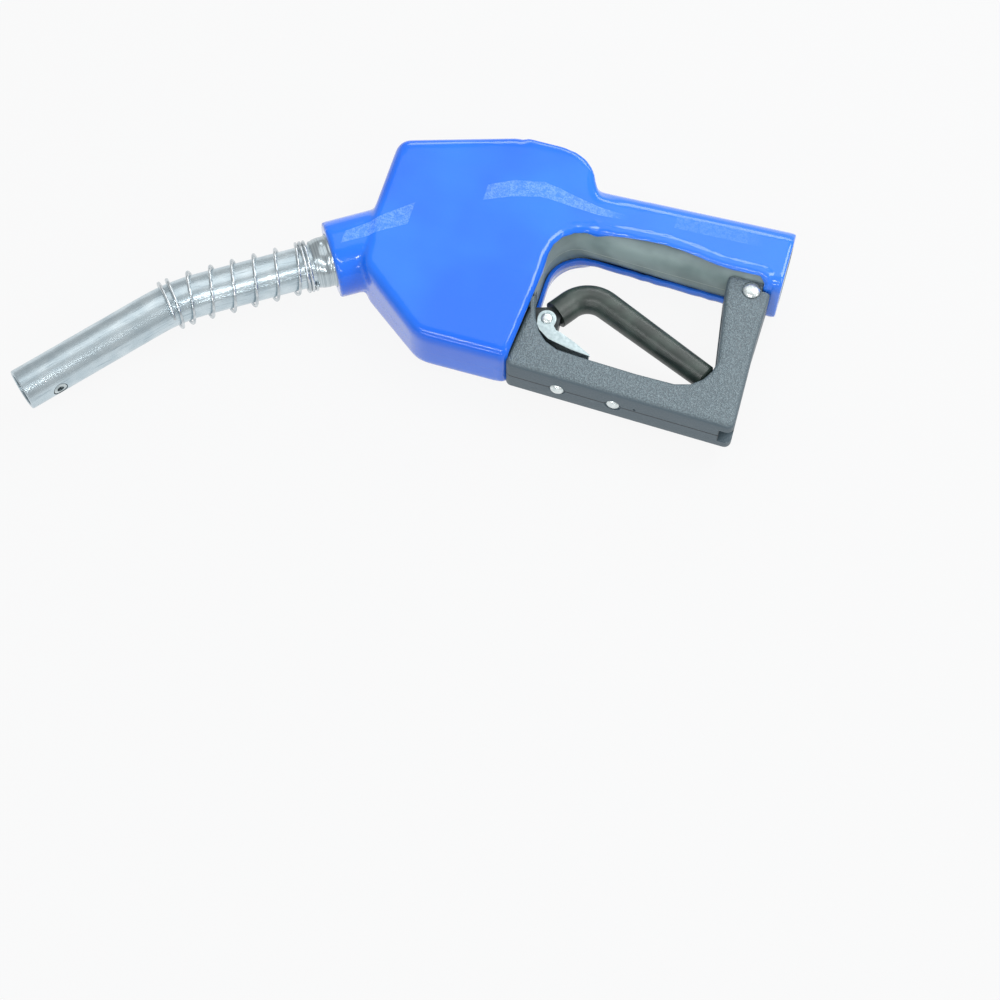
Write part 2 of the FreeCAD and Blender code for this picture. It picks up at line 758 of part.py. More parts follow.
piece("spout_lock_screw", rod(
    shift(NOSE, "lock_screw_level") + " * " + SIDEWAYS,
    "lock_screw_radius", "collar_radius + fit_gap",
    "nose_radius - cover_wall - cover_gap - lock_screw_sunk"))

bend_start = read("spout_run") - read("spout_bend_radius") * math.tan((tip_turn - nose_turn) / 2)
levels = even_levels(read("collar_reach") + read("anchor_wire"),
                     read("collar_reach") + read("anchor_wire") + 2 * read("anchor_close_pitch"), 2)
open_start = levels[-1]
open_end = open_start + read("anchor_pitch") * read("anchor_turns")
levels += [open_start + (open_end - open_start) * i / round(12 * read("anchor_turns"))
           for i in range(1, round(12 * read("anchor_turns")) + 1)]
levels += [levels[-1] + read("anchor_close_pitch") * i / 12 for i in range(1, 19)]


def beside_spout(level, radius, turn):
    """A point on the anchor spring, which follows the spout round its bend."""
    low = V(math.sin(nose_turn), -math.cos(nose_turn), 0)
    rise = V(0, 0, 1)
    if level <= bend_start:
        return nose_end - inward * level + (low * math.cos(turn) + rise * math.sin(turn)) * radius
    swing = (level - bend_start) / read("spout_bend_radius")
    centre = nose_end - inward * bend_start + low * read("spout_bend_radius")
    lean = nose_turn + swing
    out = V(math.sin(lean), -math.cos(lean), 0)
    return centre - out * read("spout_bend_radius") \
        + (out * math.cos(turn) + rise * math.sin(turn)) * radius


wire_points = [beside_spout(level, read("anchor_radius"), math.pi * i / 6)
               for i, level in enumerate(levels)]
piece("spout_spring", shaped(swept(Part.makePolygon(wire_points), read("anchor_wire"))))

# ---------------------------------------------------------------- check valve in the nose
spokes = []
for number in range(3):
    spoke = doc.addObject("Part::Box", "spoke")
    bind(spoke, Length="nose_bore_radius - check_stem_radius - 2 * (run_gap + spoke_tuck)",
         Width="2 * spoke_half",
         Height="guide_wall",
         Placement=shift(NOSE, "guide_level", "check_stem_radius + run_gap + spoke_tuck",
                         f"60 + {number} * 120")
         + " * placement(vector(0; -spoke_half; 0); rotation(0; 0; 0))")
    spokes.append(spoke)
piece("check_valve_guide", fuse(
    tube(NOSE, "check_radius", "nose_bore_radius - fit_gap", "guide_level",
         "guide_level + guide_wall"),
    tube(NOSE, "check_stem_radius + run_gap", "hub_radius", "guide_level",
         "guide_level + guide_wall"), *spokes))
piece("check_valve_poppet", turned(NOSE, [
    ("0", "guide_level - check_tail"), ("check_stem_radius", "guide_level - check_tail"),
    ("check_stem_radius", "check_seat_level - check_wall - fit_gap"),
    ("check_radius", "check_seat_level - check_wall - fit_gap"),
    ("check_radius", "check_seat_level - fit_gap"), ("0", "check_seat_level - fit_gap")]))
piece("check_valve_seat", tube(NOSE, "check_seat_bore", "nose_bore_radius - fit_gap",
                               "check_seat_level", "check_seat_level + check_seat_wall"))
piece("check_valve_spring", coil(NOSE, read("check_coil_radius"), read("check_wire"), even_levels(
    read("guide_level") + read("guide_wall") + read("check_wire"),
    read("check_seat_level") - read("check_wall") - read("fit_gap") - read("check_wire"), 4)))

# ---------------------------------------------------------------- lever
grip_start = V(-read("grip_start_x"), -read("grip_start_y"), 0)
grip_bend = V(-read("grip_bend_x"), -read("grip_bend_y"), 0)
grip_end = V(-read("grip_end_x"), -read("grip_end_y"), 0)
grip_path = bent_path(grip_start, grip_bend, grip_end, read("grip_bend_radius"))


def tapered(path, radius_start, radius_end):
    """A round bar along a wire that narrows evenly."""
    pipe = Part.BRepOffsetAPI.MakePipeShell(path)
    for edge, at_end, radius in ((path.Edges[0], False, radius_start),
                                 (path.Edges[-1], True, radius_end)):
        spot = edge.LastParameter if at_end else edge.FirstParameter
        pipe.add(Part.Wire([Part.makeCircle(radius, edge.valueAt(spot), edge.tangentAt(spot))]))
    pipe.build()
    pipe.makeSolid()
    return pipe.shape()


grip_way = (grip_end - grip_bend).normalize()
cap_path = bent_path(grip_start, grip_bend, grip_end + grip_way * read("grip_cap"),
                     read("grip_bend_radius"))
LEVER_PLATE = [
    ("-pivot_x - pivot_boss", "-lever_top"), ("-head_rear - lever_neck", "-lever_top"),
    ("-clip_x", "-lever_top + lever_rise"),
    ("-grip_start_x + grip_tuck", "-grip_start_y - grip_tuck_y"),
    ("-grip_start_x + grip_foot", "-clip_y - grip_tuck"), ("-clip_x", "-lever_low + lever_keel"),
    ("-clip_x - lever_heel", "-lever_low + lever_keel / 2"),
    ("-pivot_x - pivot_boss", "-lever_low")]
lever_plate = prism(LEVER_PLATE, "lever_half")
fork = block("-pivot_x - fork_front", "-pivot_x + fork_back", "-lever_low - past",
             "-lever_top + past", "fork_half")
lever_rod = shaped(swept(grip_path, read("rod_radius")))
piece("lever_core", cut(
    fuse(lever_plate, lever_rod), fork,
    rod(across("-pivot_x", "-pivot_y"), "lever_pin_radius + run_gap",
        "-lever_half - past", "lever_half + past"),
    rod(across("-clip_x", "-clip_y"), "clip_rivet_radius", "-lever_half - past",
        "lever_half + past")))
sleeve = shaped(tapered(cap_path, read("grip_radius"), read("grip_end_radius")))
sleeve_bore = shaped(swept(grip_path, read("rod_radius")))
piece("lever_sleeve", cut(sleeve, sleeve_bore, prism(LEVER_PLATE, "lever_half + fit_gap")))

# ---------------------------------------------------------------- hold-open clip
CLIP = across("-clip_x", "-clip_y")
piece("clip_rivet", fuse(
    rod(CLIP, "clip_rivet_radius", "-clip_outer", "clip_outer"),
    rod(CLIP, "clip_head_radius", "clip_outer + fit_gap", "clip_outer + clip_head_height"),
    rod(CLIP, "clip_head_radius", "-clip_outer - clip_head_height", "-clip_outer - fit_gap"),
    rod(CLIP, "clip_rivet_radius", "-clip_outer - clip_head_height",
        "clip_outer + clip_head_height")))
piece("clip_spacer", tube(CLIP, "clip_rivet_radius", "spacer_radius", "-clip_inner + run_gap",
                          "-lever_half"))
piece("clip_spring", coil(CLIP, read("clip_coil_radius"), read("clip_wire"), even_levels(
    read("lever_half") + read("clip_wire") + read("run_gap"),
    read("clip_inner") - read("clip_wire") - read("run_gap"), 2)))
plate_outline = [
    ("-clip_x - clip_brow_x", "-clip_y - clip_brow_y"),
    ("-clip_x + clip_crest_x", "-clip_y + clip_crest_y"),
    ("-clip_x + clip_bridge_x", "-clip_y - clip_bridge_y"),
    ("-clip_tip_x", "-clip_tip_y + clip_tip_height / 2"),
    ("-clip_tip_x", "-clip_tip_y - clip_tip_height / 2"),
    ("-clip_x + clip_web_x", "-clip_y - clip_web_y"),
    ("-clip_x - clip_chin_x", "-clip_y - clip_chin_y")]
clip_solid = fuse(prism(plate_outline, "clip_outer"), rod(CLIP, "clip_eye", "-clip_outer", "clip_outer"))
hollow = fuse(
    prism([("-clip_x - 2 * clip_eye", "-clip_y - clip_floor"),
           ("-clip_x + clip_bridge_x - clip_bridge_y", "-clip_y - clip_floor"),
           ("-clip_tip_x - clip_lip", "-clip_tip_y + clip_lip_height"),
           ("-clip_tip_x + past", "-clip_tip_y + clip_lip_height + clip_tip_height"),
           ("-clip_tip_x", "-clip_y + 3 * clip_eye"),
           ("-clip_x - 2 * clip_eye", "-clip_y + 3 * clip_eye")], "clip_inner"),
    rod(CLIP, "clip_eye + past", "-clip_inner", "clip_inner"))
piece("hold_open_clip", cut(clip_solid, hollow, rod(CLIP, "clip_rivet_radius + run_gap",
                                                    "-clip_outer - past", "clip_outer + past")))

# ---------------------------------------------------------------- guard
guard_outline = [
    ("-head_rear - cover_wall + face_gap / 2", "-guard_front_base"),
    ("-guard_rear", "-guard_rear_base"), ("-guard_rear + leg_waist", "-leg_waist_y"),
    ("-guard_rear", "0"), ("-guard_leg - leg_head", "0"),
    ("-guard_leg - leg_head", "-handle_rear_radius - rear_rivet_drop"), ("-guard_leg", "-pivot_y"),
    *[(f"-guard_leg - opening_{corner}_x", f"-guard_floor + opening_{corner}_y")
      for corner in range(1, 9)],
    ("-head_rear + tip_land_x", "-guard_tip_y - tip_land"),
    ("-head_rear - cover_wall + face_gap / 2", "-guard_tip_y")]
guard_section = [("-guard_rear_base", "-guard_half"), ("guard_half", "-guard_half"),
                 ("guard_half", "guard_half"), ("-guard_rear_base", "guard_half")]
hollows = [
    handle_bar("-face_gap"),
    block("-lug_front - face_gap", "-lug_rear + face_gap", LUG_BASE + " - face_gap", "0",
          "lug_half + face_gap"),
    block("-clip_slot_front", "-clip_slot_rear", "-clip_slot_base", "-guard_tip_y", "clip_slot_half"),
    block("-head_rear - tab_length", "-clip_slot_front + slot_half", "-guard_floor", "0",
          "slot_half"),
    block("-rack_front - face_gap", "-rack_rear + face_gap", "-rack_seat", "-clip_slot_base + past",
          "rack_half + face_gap"),
    block("-guard_leg - lever_room_front", "-guard_leg + lever_room_rear",
          "-guard_rear_base + lever_room_wall", LUG_BASE + " - 3 * lever_room",
          "grip_radius + lever_room"),
    block("-head_rear - tab_length", "-head_rear - cover_wall + tab_length + face_gap",
          TAB_BASE + " - face_gap", TAB_BASE + " + tab_height + face_gap", "lug_half + face_gap"),
    rod(REAR_RIVET, "rear_rivet_radius", "-guard_half - past", "guard_half + past"),
    rod(FRONT_PIN, "front_pin_radius", "-front_pin_half", "front_pin_half")]
for number in (1, 2):
    place = upward(f"-rack_rivet_{number}_x")
    hollows += [rod(place, "rack_rivet_radius", "-guard_rear_base - past", "-rack_seat + past"),
                rod(place, "rack_head_radius + fit_gap", "-guard_rear_base - past",
                    "-rack_head_seat")]
for label, side in (("guard_left_half", 1), ("guard_right_half", -1)):
    half_space = doc.addObject("Part::Box", "half_space")
    bind(half_space, Length="head_front", Width="head_front", Height="2 * guard_half",
         Placement=f"placement(vector(-head_front; -head_front + head_top; "
                   f"{'0' if side > 0 else '-2 * guard_half'}); rotation(0; 0; 0))")
    whole = common(prism(guard_outline, "guard_half"),
                   soft_prism(guard_section, "head_front", "guard_round", "0", SECTION), half_space)
    piece(label, cut(whole, *hollows))

piece("guard_rear_rivet", fuse(
    rod(REAR_RIVET, "rear_rivet_radius", "-guard_half", "guard_half"),
    cone(REAR_RIVET, "rear_head_radius", "rear_rivet_radius", "guard_half",
         "guard_half + rear_head_height"),
    cone(REAR_RIVET, "rear_rivet_radius", "rear_head_radius", "-guard_half - rear_head_height",
         "-guard_half")))
piece("guard_front_pin", rod(FRONT_PIN, "front_pin_radius", "-front_pin_half", "front_pin_half"))

# ---------------------------------------------------------------- hold-open rack
teeth = [("-rack_front", "-rack_seat")]
for number in range(3):
    left = f"-rack_front + {number} * tooth_pitch"
    teeth += [(left, "-rack_seat + rack_wall + rack_tooth"),
              (f"{left} + tooth_pitch / 2", "-rack_seat + rack_wall")]
teeth += [("-rack_rear", "-rack_seat + rack_wall"), ("-rack_rear", "-rack_seat")]
rack_holes = [rod(upward(f"-rack_rivet_{number}_x"), "rack_rivet_radius", "-rack_seat - past",
                  "-rack_seat + 2 * rack_wall") for number in (1, 2)]
piece("hold_open_rack", cut(prism(teeth, "rack_half"), *rack_holes))
for number in (1, 2):
    place = upward(f"-rack_rivet_{number}_x")
    piece(f"rack_rivet_{number}", fuse(
        rod(place, "rack_rivet_radius", "-rack_head_seat", "-rack_seat + rack_wall + rack_tail"),
        cone(place, "rack_head_inner", "rack_head_radius",
             "-rack_head_seat - rack_head_height", "-rack_head_seat"),
        rod(place, "rack_head_inner", "-rack_seat + rack_wall",
            "-rack_seat + rack_wall + rack_tail")))

# ---------------------------------------------------------------- checks and export
doc.recompute()
for item in doc.Objects:
    if "Invalid" in item.State or "Error" in item.State:
        raise RuntimeError(f"{item.Name} ({item.Label}) failed: {item.State}")
for item in PIECES:
    if item.Shape.isNull() or not item.Shape.isValid():
        raise RuntimeError(f"{item.Label} has no valid shape")
os.makedirs("parts", exist_ok=True)
for item in PIECES:
    item.Shape.exportStep(f"parts/{item.Label}.step")
    print(f"{item.Label}: {len(item.Shape.Solids)} solid, {item.Shape.Volume:.0f} mm3")
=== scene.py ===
import json
import math

import bmesh
import bpy
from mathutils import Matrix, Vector
from mathutils.kdtree import KDTree


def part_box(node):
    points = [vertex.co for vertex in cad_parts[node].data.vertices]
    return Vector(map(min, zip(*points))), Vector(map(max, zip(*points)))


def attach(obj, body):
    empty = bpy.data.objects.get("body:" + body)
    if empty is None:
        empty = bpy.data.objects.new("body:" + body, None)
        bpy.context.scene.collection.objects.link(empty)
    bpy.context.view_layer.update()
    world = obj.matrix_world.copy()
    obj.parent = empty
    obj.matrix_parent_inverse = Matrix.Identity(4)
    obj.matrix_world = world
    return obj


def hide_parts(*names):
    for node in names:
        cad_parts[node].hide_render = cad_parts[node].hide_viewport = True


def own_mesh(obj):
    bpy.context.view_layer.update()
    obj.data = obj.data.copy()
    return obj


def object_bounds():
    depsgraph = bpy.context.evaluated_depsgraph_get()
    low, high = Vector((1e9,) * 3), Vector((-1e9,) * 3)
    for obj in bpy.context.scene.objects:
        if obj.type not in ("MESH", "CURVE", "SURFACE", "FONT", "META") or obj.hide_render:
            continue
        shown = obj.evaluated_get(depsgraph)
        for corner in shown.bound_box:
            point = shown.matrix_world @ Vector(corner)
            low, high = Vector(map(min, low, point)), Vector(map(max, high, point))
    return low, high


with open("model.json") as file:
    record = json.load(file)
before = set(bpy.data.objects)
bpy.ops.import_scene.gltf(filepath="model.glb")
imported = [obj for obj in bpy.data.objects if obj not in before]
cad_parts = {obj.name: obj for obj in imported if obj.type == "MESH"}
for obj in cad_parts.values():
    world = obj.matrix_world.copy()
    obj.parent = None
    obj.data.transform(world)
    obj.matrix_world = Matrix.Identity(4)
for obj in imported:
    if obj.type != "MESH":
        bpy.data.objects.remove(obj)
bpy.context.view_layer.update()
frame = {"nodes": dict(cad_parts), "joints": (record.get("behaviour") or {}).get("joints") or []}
nodes = frame["nodes"]


# ------------------------------------------------------------------ body casting
# The valve body is one aluminium casting with a dark, satin coat. It carries the nose, the
# handle and all the valve work, and shows in the cover's window with its fine parting line,
# a real ridge whose near white colour is a painted highlight.
def select_only(piece):
    bpy.ops.object.select_all(action="DESELECT")
    piece.select_set(True)
    bpy.context.view_layer.objects.active = piece


def edit(piece, mode="VERT"):
    """Open a piece for editing with everything in it selected."""
    select_only(piece)
    bpy.ops.object.mode_set(mode="EDIT")
    bpy.ops.mesh.select_mode(type=mode)
    bpy.ops.mesh.select_all(action="SELECT")


def done():
    bpy.ops.object.mode_set(mode="OBJECT")
    return bpy.context.object


def settle(name):
    """Name the piece just added and put its place into its mesh."""
    piece = bpy.context.object
    piece.name = piece.data.name = name
    bpy.ops.object.transform_apply(location=True, rotation=True, scale=True)
    return piece


def block(name, low, high, turn=0.0):
    low, high = Vector(low), Vector(high)
    bpy.ops.mesh.primitive_cube_add(size=1, location=(low + high) / 2, scale=high - low,
                                    rotation=(0, 0, turn))
    return settle(name)


def bar(name, radius, start, end, sides=64):
    """A round bar between two points."""
    start, end = Vector(start), Vector(end)
    bpy.ops.mesh.primitive_cylinder_add(
        vertices=sides, radius=radius, depth=(end - start).length, location=(start + end) / 2,
        rotation=(end - start).to_track_quat("Z", "Y").to_euler())
    return settle(name)


def turned(name, profile, sides=64):
    """A turned piece along X from its profile, given as level and radius."""
    bpy.ops.mesh.primitive_plane_add(size=0.001, location=(*profile[0], 0))
    piece = settle(name)
    edit(piece)
    bpy.ops.mesh.merge(type="CENTER")
    for start, end in zip(profile, profile[1:]):
        step = (end[0] - start[0], end[1] - start[1], 0)
        bpy.ops.mesh.extrude_vertices_move(TRANSFORM_OT_translate={"value": step})
    bpy.ops.mesh.select_all(action="SELECT")
    bpy.ops.mesh.spin(steps=sides, angle=2 * math.pi, center=(0, 0, 0), axis=(1, 0, 0))
    bpy.ops.mesh.select_all(action="SELECT")
    bpy.ops.mesh.remove_doubles(threshold=0.00001)
    bpy.ops.mesh.normals_make_consistent(inside=False)
    return done()


def lay(piece, place, *turn):
    """Turn a piece about X, Y and Z, then move it."""
    select_only(piece)
    piece.rotation_euler = turn
    piece.location = place
    bpy.ops.object.transform_apply(location=True, rotation=True, scale=True)
    return piece


def modify(piece, kind, **settings):
    """Add a modifier and apply it."""
    select_only(piece)
    modifier = piece.modifiers.new(kind.lower(), kind)
    for key, value in settings.items():
        setattr(modifier, key, value)
    bpy.ops.object.modifier_apply(modifier=modifier.name)
    return piece


def carve(piece, *cutters):
    for cutter in cutters:
        modify(piece, "BOOLEAN", operation="DIFFERENCE", object=cutter, solver="EXACT")
        bpy.data.objects.remove(cutter)
    return piece


def weld(piece, *others):
    for other in others:
        modify(piece, "BOOLEAN", operation="UNION", object=other, solver="EXACT")
        bpy.data.objects.remove(other)
    return piece


def join(piece, *others):
    select_only(piece)
    for other in others:
        other.select_set(True)
    bpy.ops.object.join()
    return piece


def choose(piece, mode, test):
    """Select the edges or faces that pass a test; the piece is open for editing."""
    bpy.ops.mesh.select_mode(type=mode)
    bpy.ops.mesh.select_all(action="DESELECT")
    mesh = bmesh.from_edit_mesh(piece.data)
    for element in mesh.edges if mode == "EDGE" else mesh.faces:
        if test(element):
            element.select_set(True)
    mesh.select_flush_mode()
    bmesh.update_edit_mesh(piece.data)


def smooth(piece, degrees):
    """Shade a piece smooth except over its sharp edges."""
    select_only(piece)
    bpy.ops.object.shade_smooth_by_angle(angle=math.radians(degrees))
    return piece


def trim(piece, outline, inset):
    """Slice a block down to a convex outline, given anticlockwise, set in by a wall."""
    edit(piece)
    for start, end in zip(outline, outline[1:] + outline[:1]):
        side = Vector((end[1] - start[1], start[0] - end[0], 0)).normalized()
        bpy.ops.mesh.select_all(action="SELECT")
        bpy.ops.mesh.bisect(plane_co=Vector((*start, 0)) - side * inset, plane_no=side,
                            use_fill=True, clear_outer=True)
    return done()


def slope(piece, point, normal):
    """Slice a block's two sides down to a plane and its mirror image."""
    edit(piece)
    for mirror in (1, -1):
        side = Vector((normal[0], normal[1], normal[2] * mirror)).normalized()
        bpy.ops.mesh.select_all(action="SELECT")
        bpy.ops.mesh.bisect(plane_co=(point[0], point[1], point[2] * mirror), plane_no=side,
                            use_fill=True, clear_outer=True)
    return done()


NOSE_LEAN = math.radians(33.5)
NOSE = Vector((-0.2155, -0.0555, 0))
NOSE_REACH, NOSE_HALF, NOSE_CORNER = 0.023, 0.0187, 0.0182
INWARD = Vector((math.cos(NOSE_LEAN), math.sin(NOSE_LEAN), 0))
HANDLE_FRONT, HANDLE_REAR, HANDLE_LENGTH, HANDLE_TOP = 0.0154, 0.018, 0.105, 0.012
THROAT = 0.017
HEAD_HALF, HEAD_FRONT, HEAD_BASE, CROWN = 0.0205, -0.2032, -0.0905, 0.0292
REAR_FACE, REAR_SLANT = -0.111, 0.0042
HEAD_EDGE = 0.0052
THROAT_X, THROAT_Y = REAR_FACE + THROAT, -HANDLE_FRONT - THROAT
HEAD_OUTLINE = [
    (HEAD_FRONT, -0.006), (-0.197, -0.062), (-0.1605, HEAD_BASE),
    (REAR_FACE - REAR_SLANT, HEAD_BASE), (REAR_FACE, -0.047), (REAR_FACE, 0.02),
    (-0.121, CROWN), (-0.145, CROWN), (HEAD_FRONT, 0.0096)]
THROAT_OUTLINE = [
    (-0.14, THROAT_Y), (THROAT_X, THROAT_Y), (THROAT_X, -0.004), (-0.0985, 0.01),
    (-0.1015, 0.0165), (-0.1045, 0.0212), (-0.109, 0.0255), (-0.1145, 0.0281),
    (-0.121, CROWN), (-0.14, CROWN)]
NECK_EDGE = 0.004
JUNCTION_BLEND, SKIN_BLEND = 0.0000345, 0.01


def body_form(name, inset, belly, corner, grain):
    """Head, nose, throat and handle run into one another, set in from the outer skin.

    Belly sets in the handle's underside and corner rounds its edges. Grain is the size of
    the mesh that the parts are melted into."""
    half = HEAD_HALF - inset
    head = block(name, (-0.21, -0.1, -half), (-0.09, 0.03, half))
    trim(head, HEAD_OUTLINE, inset)
    throat = block("throat", (-0.14, -0.05, -half), (-0.08, 0.04, half))
    trim(throat, THROAT_OUTLINE, inset)
    carve(throat, bar("hollow", THROAT + inset, (THROAT_X, THROAT_Y, -0.05),
                      (THROAT_X, THROAT_Y, 0.05)))
    # The sides fall away towards the crown, the base, the rear face and the front.
    for part in (head, throat):
        slope(part, (0, 0, half), (0, 2.5, 29))
        slope(part, (0, -0.045, half), (0, -5, 45.5))
        slope(part, (-0.118, 0, half), (0.129, 0, 1))
    slope(head, (HEAD_FRONT, 0, 0), (-20, 0, 3.6))
    for part in (head, throat):
        modify(part, "BEVEL", width=HEAD_EDGE - inset, segments=6, limit_method="ANGLE",
               angle_limit=math.radians(25))
    # The neck narrows from the head's thickness to the handle's.
    neck = block("neck", (-0.118, -0.0125, -half), (-0.08, 0.0085 - inset, half))
    edit(neck, "FACE")
    choose(neck, "FACE", lambda face: face.normal.x > 0.9)
    narrow = (HANDLE_FRONT - inset) / half
    bpy.ops.transform.resize(value=(1, 1, narrow), center_override=(0, 0, 0))
    choose(neck, "EDGE", lambda edge: abs(edge.verts[0].co.x - edge.verts[1].co.x) > 0.03)
    bpy.ops.mesh.bevel(offset=NECK_EDGE, segments=5, affect="EDGES")
    done()
    wide = NOSE_HALF - inset
    middle = NOSE + INWARD * (NOSE_REACH + inset / 2)
    reach = Vector((NOSE_REACH - inset / 2, wide, wide))
    nose = block("nose", middle - reach, middle + reach, NOSE_LEAN)
    edit(nose, "EDGE")
    choose(nose, "EDGE", lambda edge: abs((edge.verts[0].co - edge.verts[1].co).normalized()
                                          .dot(INWARD)) > 0.9)
    bpy.ops.mesh.bevel(offset=NOSE_CORNER - inset, segments=16, affect="EDGES")
    done()
    wide = HANDLE_REAR - inset
    handle = block("handle", (-HANDLE_LENGTH, belly - HANDLE_REAR, -wide), (-inset, wide, wide))
    edit(handle, "EDGE")
    choose(handle, "FACE", lambda face: face.normal.x < -0.9)
    narrow = (HANDLE_FRONT - inset) / wide
    bpy.ops.transform.resize(value=(1, narrow, narrow), center_override=(0, 0, 0))
    for top, radius in ((True, HANDLE_TOP - inset), (False, corner)):
        choose(handle, "EDGE", lambda edge: abs(edge.verts[0].co.x - edge.verts[1].co.x) > 0.05
               and (edge.verts[0].co.y > 0) == top and abs(edge.verts[0].co.z) > wide * 0.8)
        bpy.ops.mesh.bevel(offset=radius, segments=10, affect="EDGES", clamp_overlap=True)
    done()
    # The parts overlap; one even mesh over them all melts them into a single skin.
    join(head, throat, neck, nose, handle)
    modify(head, "REMESH", mode="VOXEL", voxel_size=grain, use_smooth_shade=True)
    junction = head.vertex_groups.new(name="junction")
    junction.add([vertex.index for vertex in head.data.vertices
                  if -0.112 < vertex.co.x < -0.074 and -0.045 < vertex.co.y < 0.0175],
                 1.0, "REPLACE")
    modify(head, "SMOOTH", factor=0.5, iterations=round(JUNCTION_BLEND / grain ** 2),
           vertex_group="junction")
    head.vertex_groups.clear()
    return modify(head, "SMOOTH", factor=0.5, iterations=round(SKIN_BLEND / grain))


SLOT_HALF, LUG_HALF = 0.0052, 0.004
casting = body_form("cast_valve_body", inset=0.0022, belly=0.0004, corner=0.0112, grain=0.0014)
weld(casting,
     bar("inlet_boss", 0.0148, (-0.01, 0, 0), (0, 0, 0)),
     block("rear_lug", (-0.022, -0.027, -LUG_HALF), (-0.0055, -0.01, LUG_HALF)),
     block("front_tab", (-0.121, -0.087, -LUG_HALF), (-0.1038, -0.08, LUG_HALF)))
THREAD, PITCH, CREST, TURNS, MOUTH = 0.01206, 0.0018, 0.0008, 9, 0.01266
FLOW_BORE, VALVE_AXIS = 0.009, -0.121
ridges = [(-0.0015 - PITCH * (step + 0.5 * crest), THREAD - CREST * crest)
          for step in range(TURNS) for crest in (0, 1)]
inlet_thread = turned("inlet_thread", [
    (0.002, 0), (0.002, MOUTH), (0, MOUTH), *ridges, (-0.018, THREAD), (-0.018, 0.0105),
    (-0.0196, 0.0105), (-0.0196, FLOW_BORE), (VALVE_AXIS, FLOW_BORE), (VALVE_AXIS, 0)])
valve_bores = turned("valve_bores", [
    (0.06, 0), (0.06, 0.0115), (0.0095, 0.0115), (0.0095, 0.011), (-0.008, 0.011),
    (-0.008, 0.0075), (-0.012, 0.0075), (-0.012, 0.01), (-0.0225, 0.01), (-0.0265, 0.0082),
    (-0.0265, 0.0031), (-0.03, 0.0031), (-0.03, 0.0051), (-0.038, 0.0051), (-0.038, 0.0066),
    (-0.0465, 0.0066), (-0.0465, 0)])
nose_bores = turned("nose_bores", [
    (-0.005, 0), (-0.005, 0.0131), (0.0161, 0.0131), (0.0161, 0.012), (0.0215, 0.012),
    (0.0215, 0.011), (0.057, 0.011), (0.057, 0)])
carve(casting, inlet_thread,
      lay(valve_bores, (VALVE_AXIS, 0, 0), 0, 0, math.pi / 2),
      lay(nose_bores, NOSE, 0, 0, NOSE_LEAN),
      block("lever_way", (-0.147, -0.075, -SLOT_HALF), (-0.09, -0.0532, SLOT_HALF)),
      block("stem_way", (-0.135, -0.055, -SLOT_HALF), (-0.09, -0.046, SLOT_HALF)))
smooth(casting, 35)
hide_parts("body_casting")
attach(casting, "nozzle_body")


def srgb(red, green, blue):
    """A display colour, 0 to 255, as the linear values that a shader takes."""
    return tuple(((value / 255 + 0.055) / 1.055) ** 2.4 for value in (red, green, blue)) + (1.0,)


class Wire:
    """The output of a shader node. Arithmetic on it adds Math nodes."""

    def __init__(self, finish, socket):
        self.finish = finish
        self.socket = socket

    def math(self, operation, *others):
        return self.finish.node("ShaderNodeMath", {"operation": operation},
                                dict(enumerate((self,) + others)))

    def __add__(self, other):
        return self.math("ADD", other)

    def __sub__(self, other):
        return self.math("SUBTRACT", other)

    def __mul__(self, other):
        return self.math("MULTIPLY", other)

    def __truediv__(self, other):
        return self.math("DIVIDE", other)

    def __rsub__(self, other):
        return (self * -1.0).math("ADD", other)

    def __abs__(self):
        return self.math("ABSOLUTE")

    __radd__ = __add__
    __rmul__ = __mul__

    def between(self, low, high):
        """0 at low, 1 at high and smooth in between."""
        return self.finish.node("ShaderNodeMapRange", {"interpolation_type": "SMOOTHSTEP"},
                                {"Value": self, "From Min": low, "From Max": high})

    def along(self, low, high):
        """0 at low, 1 at high and straight in between."""
        return self.finish.node("ShaderNodeMapRange", {},
                                {"Value": self, "From Min": low, "From Max": high})

    def ramp(self, *stops):
        """A grey level from stops of place and level."""
        return self.finish.node("ShaderNodeValToRGB", {"stops": stops}, {"Fac": self})


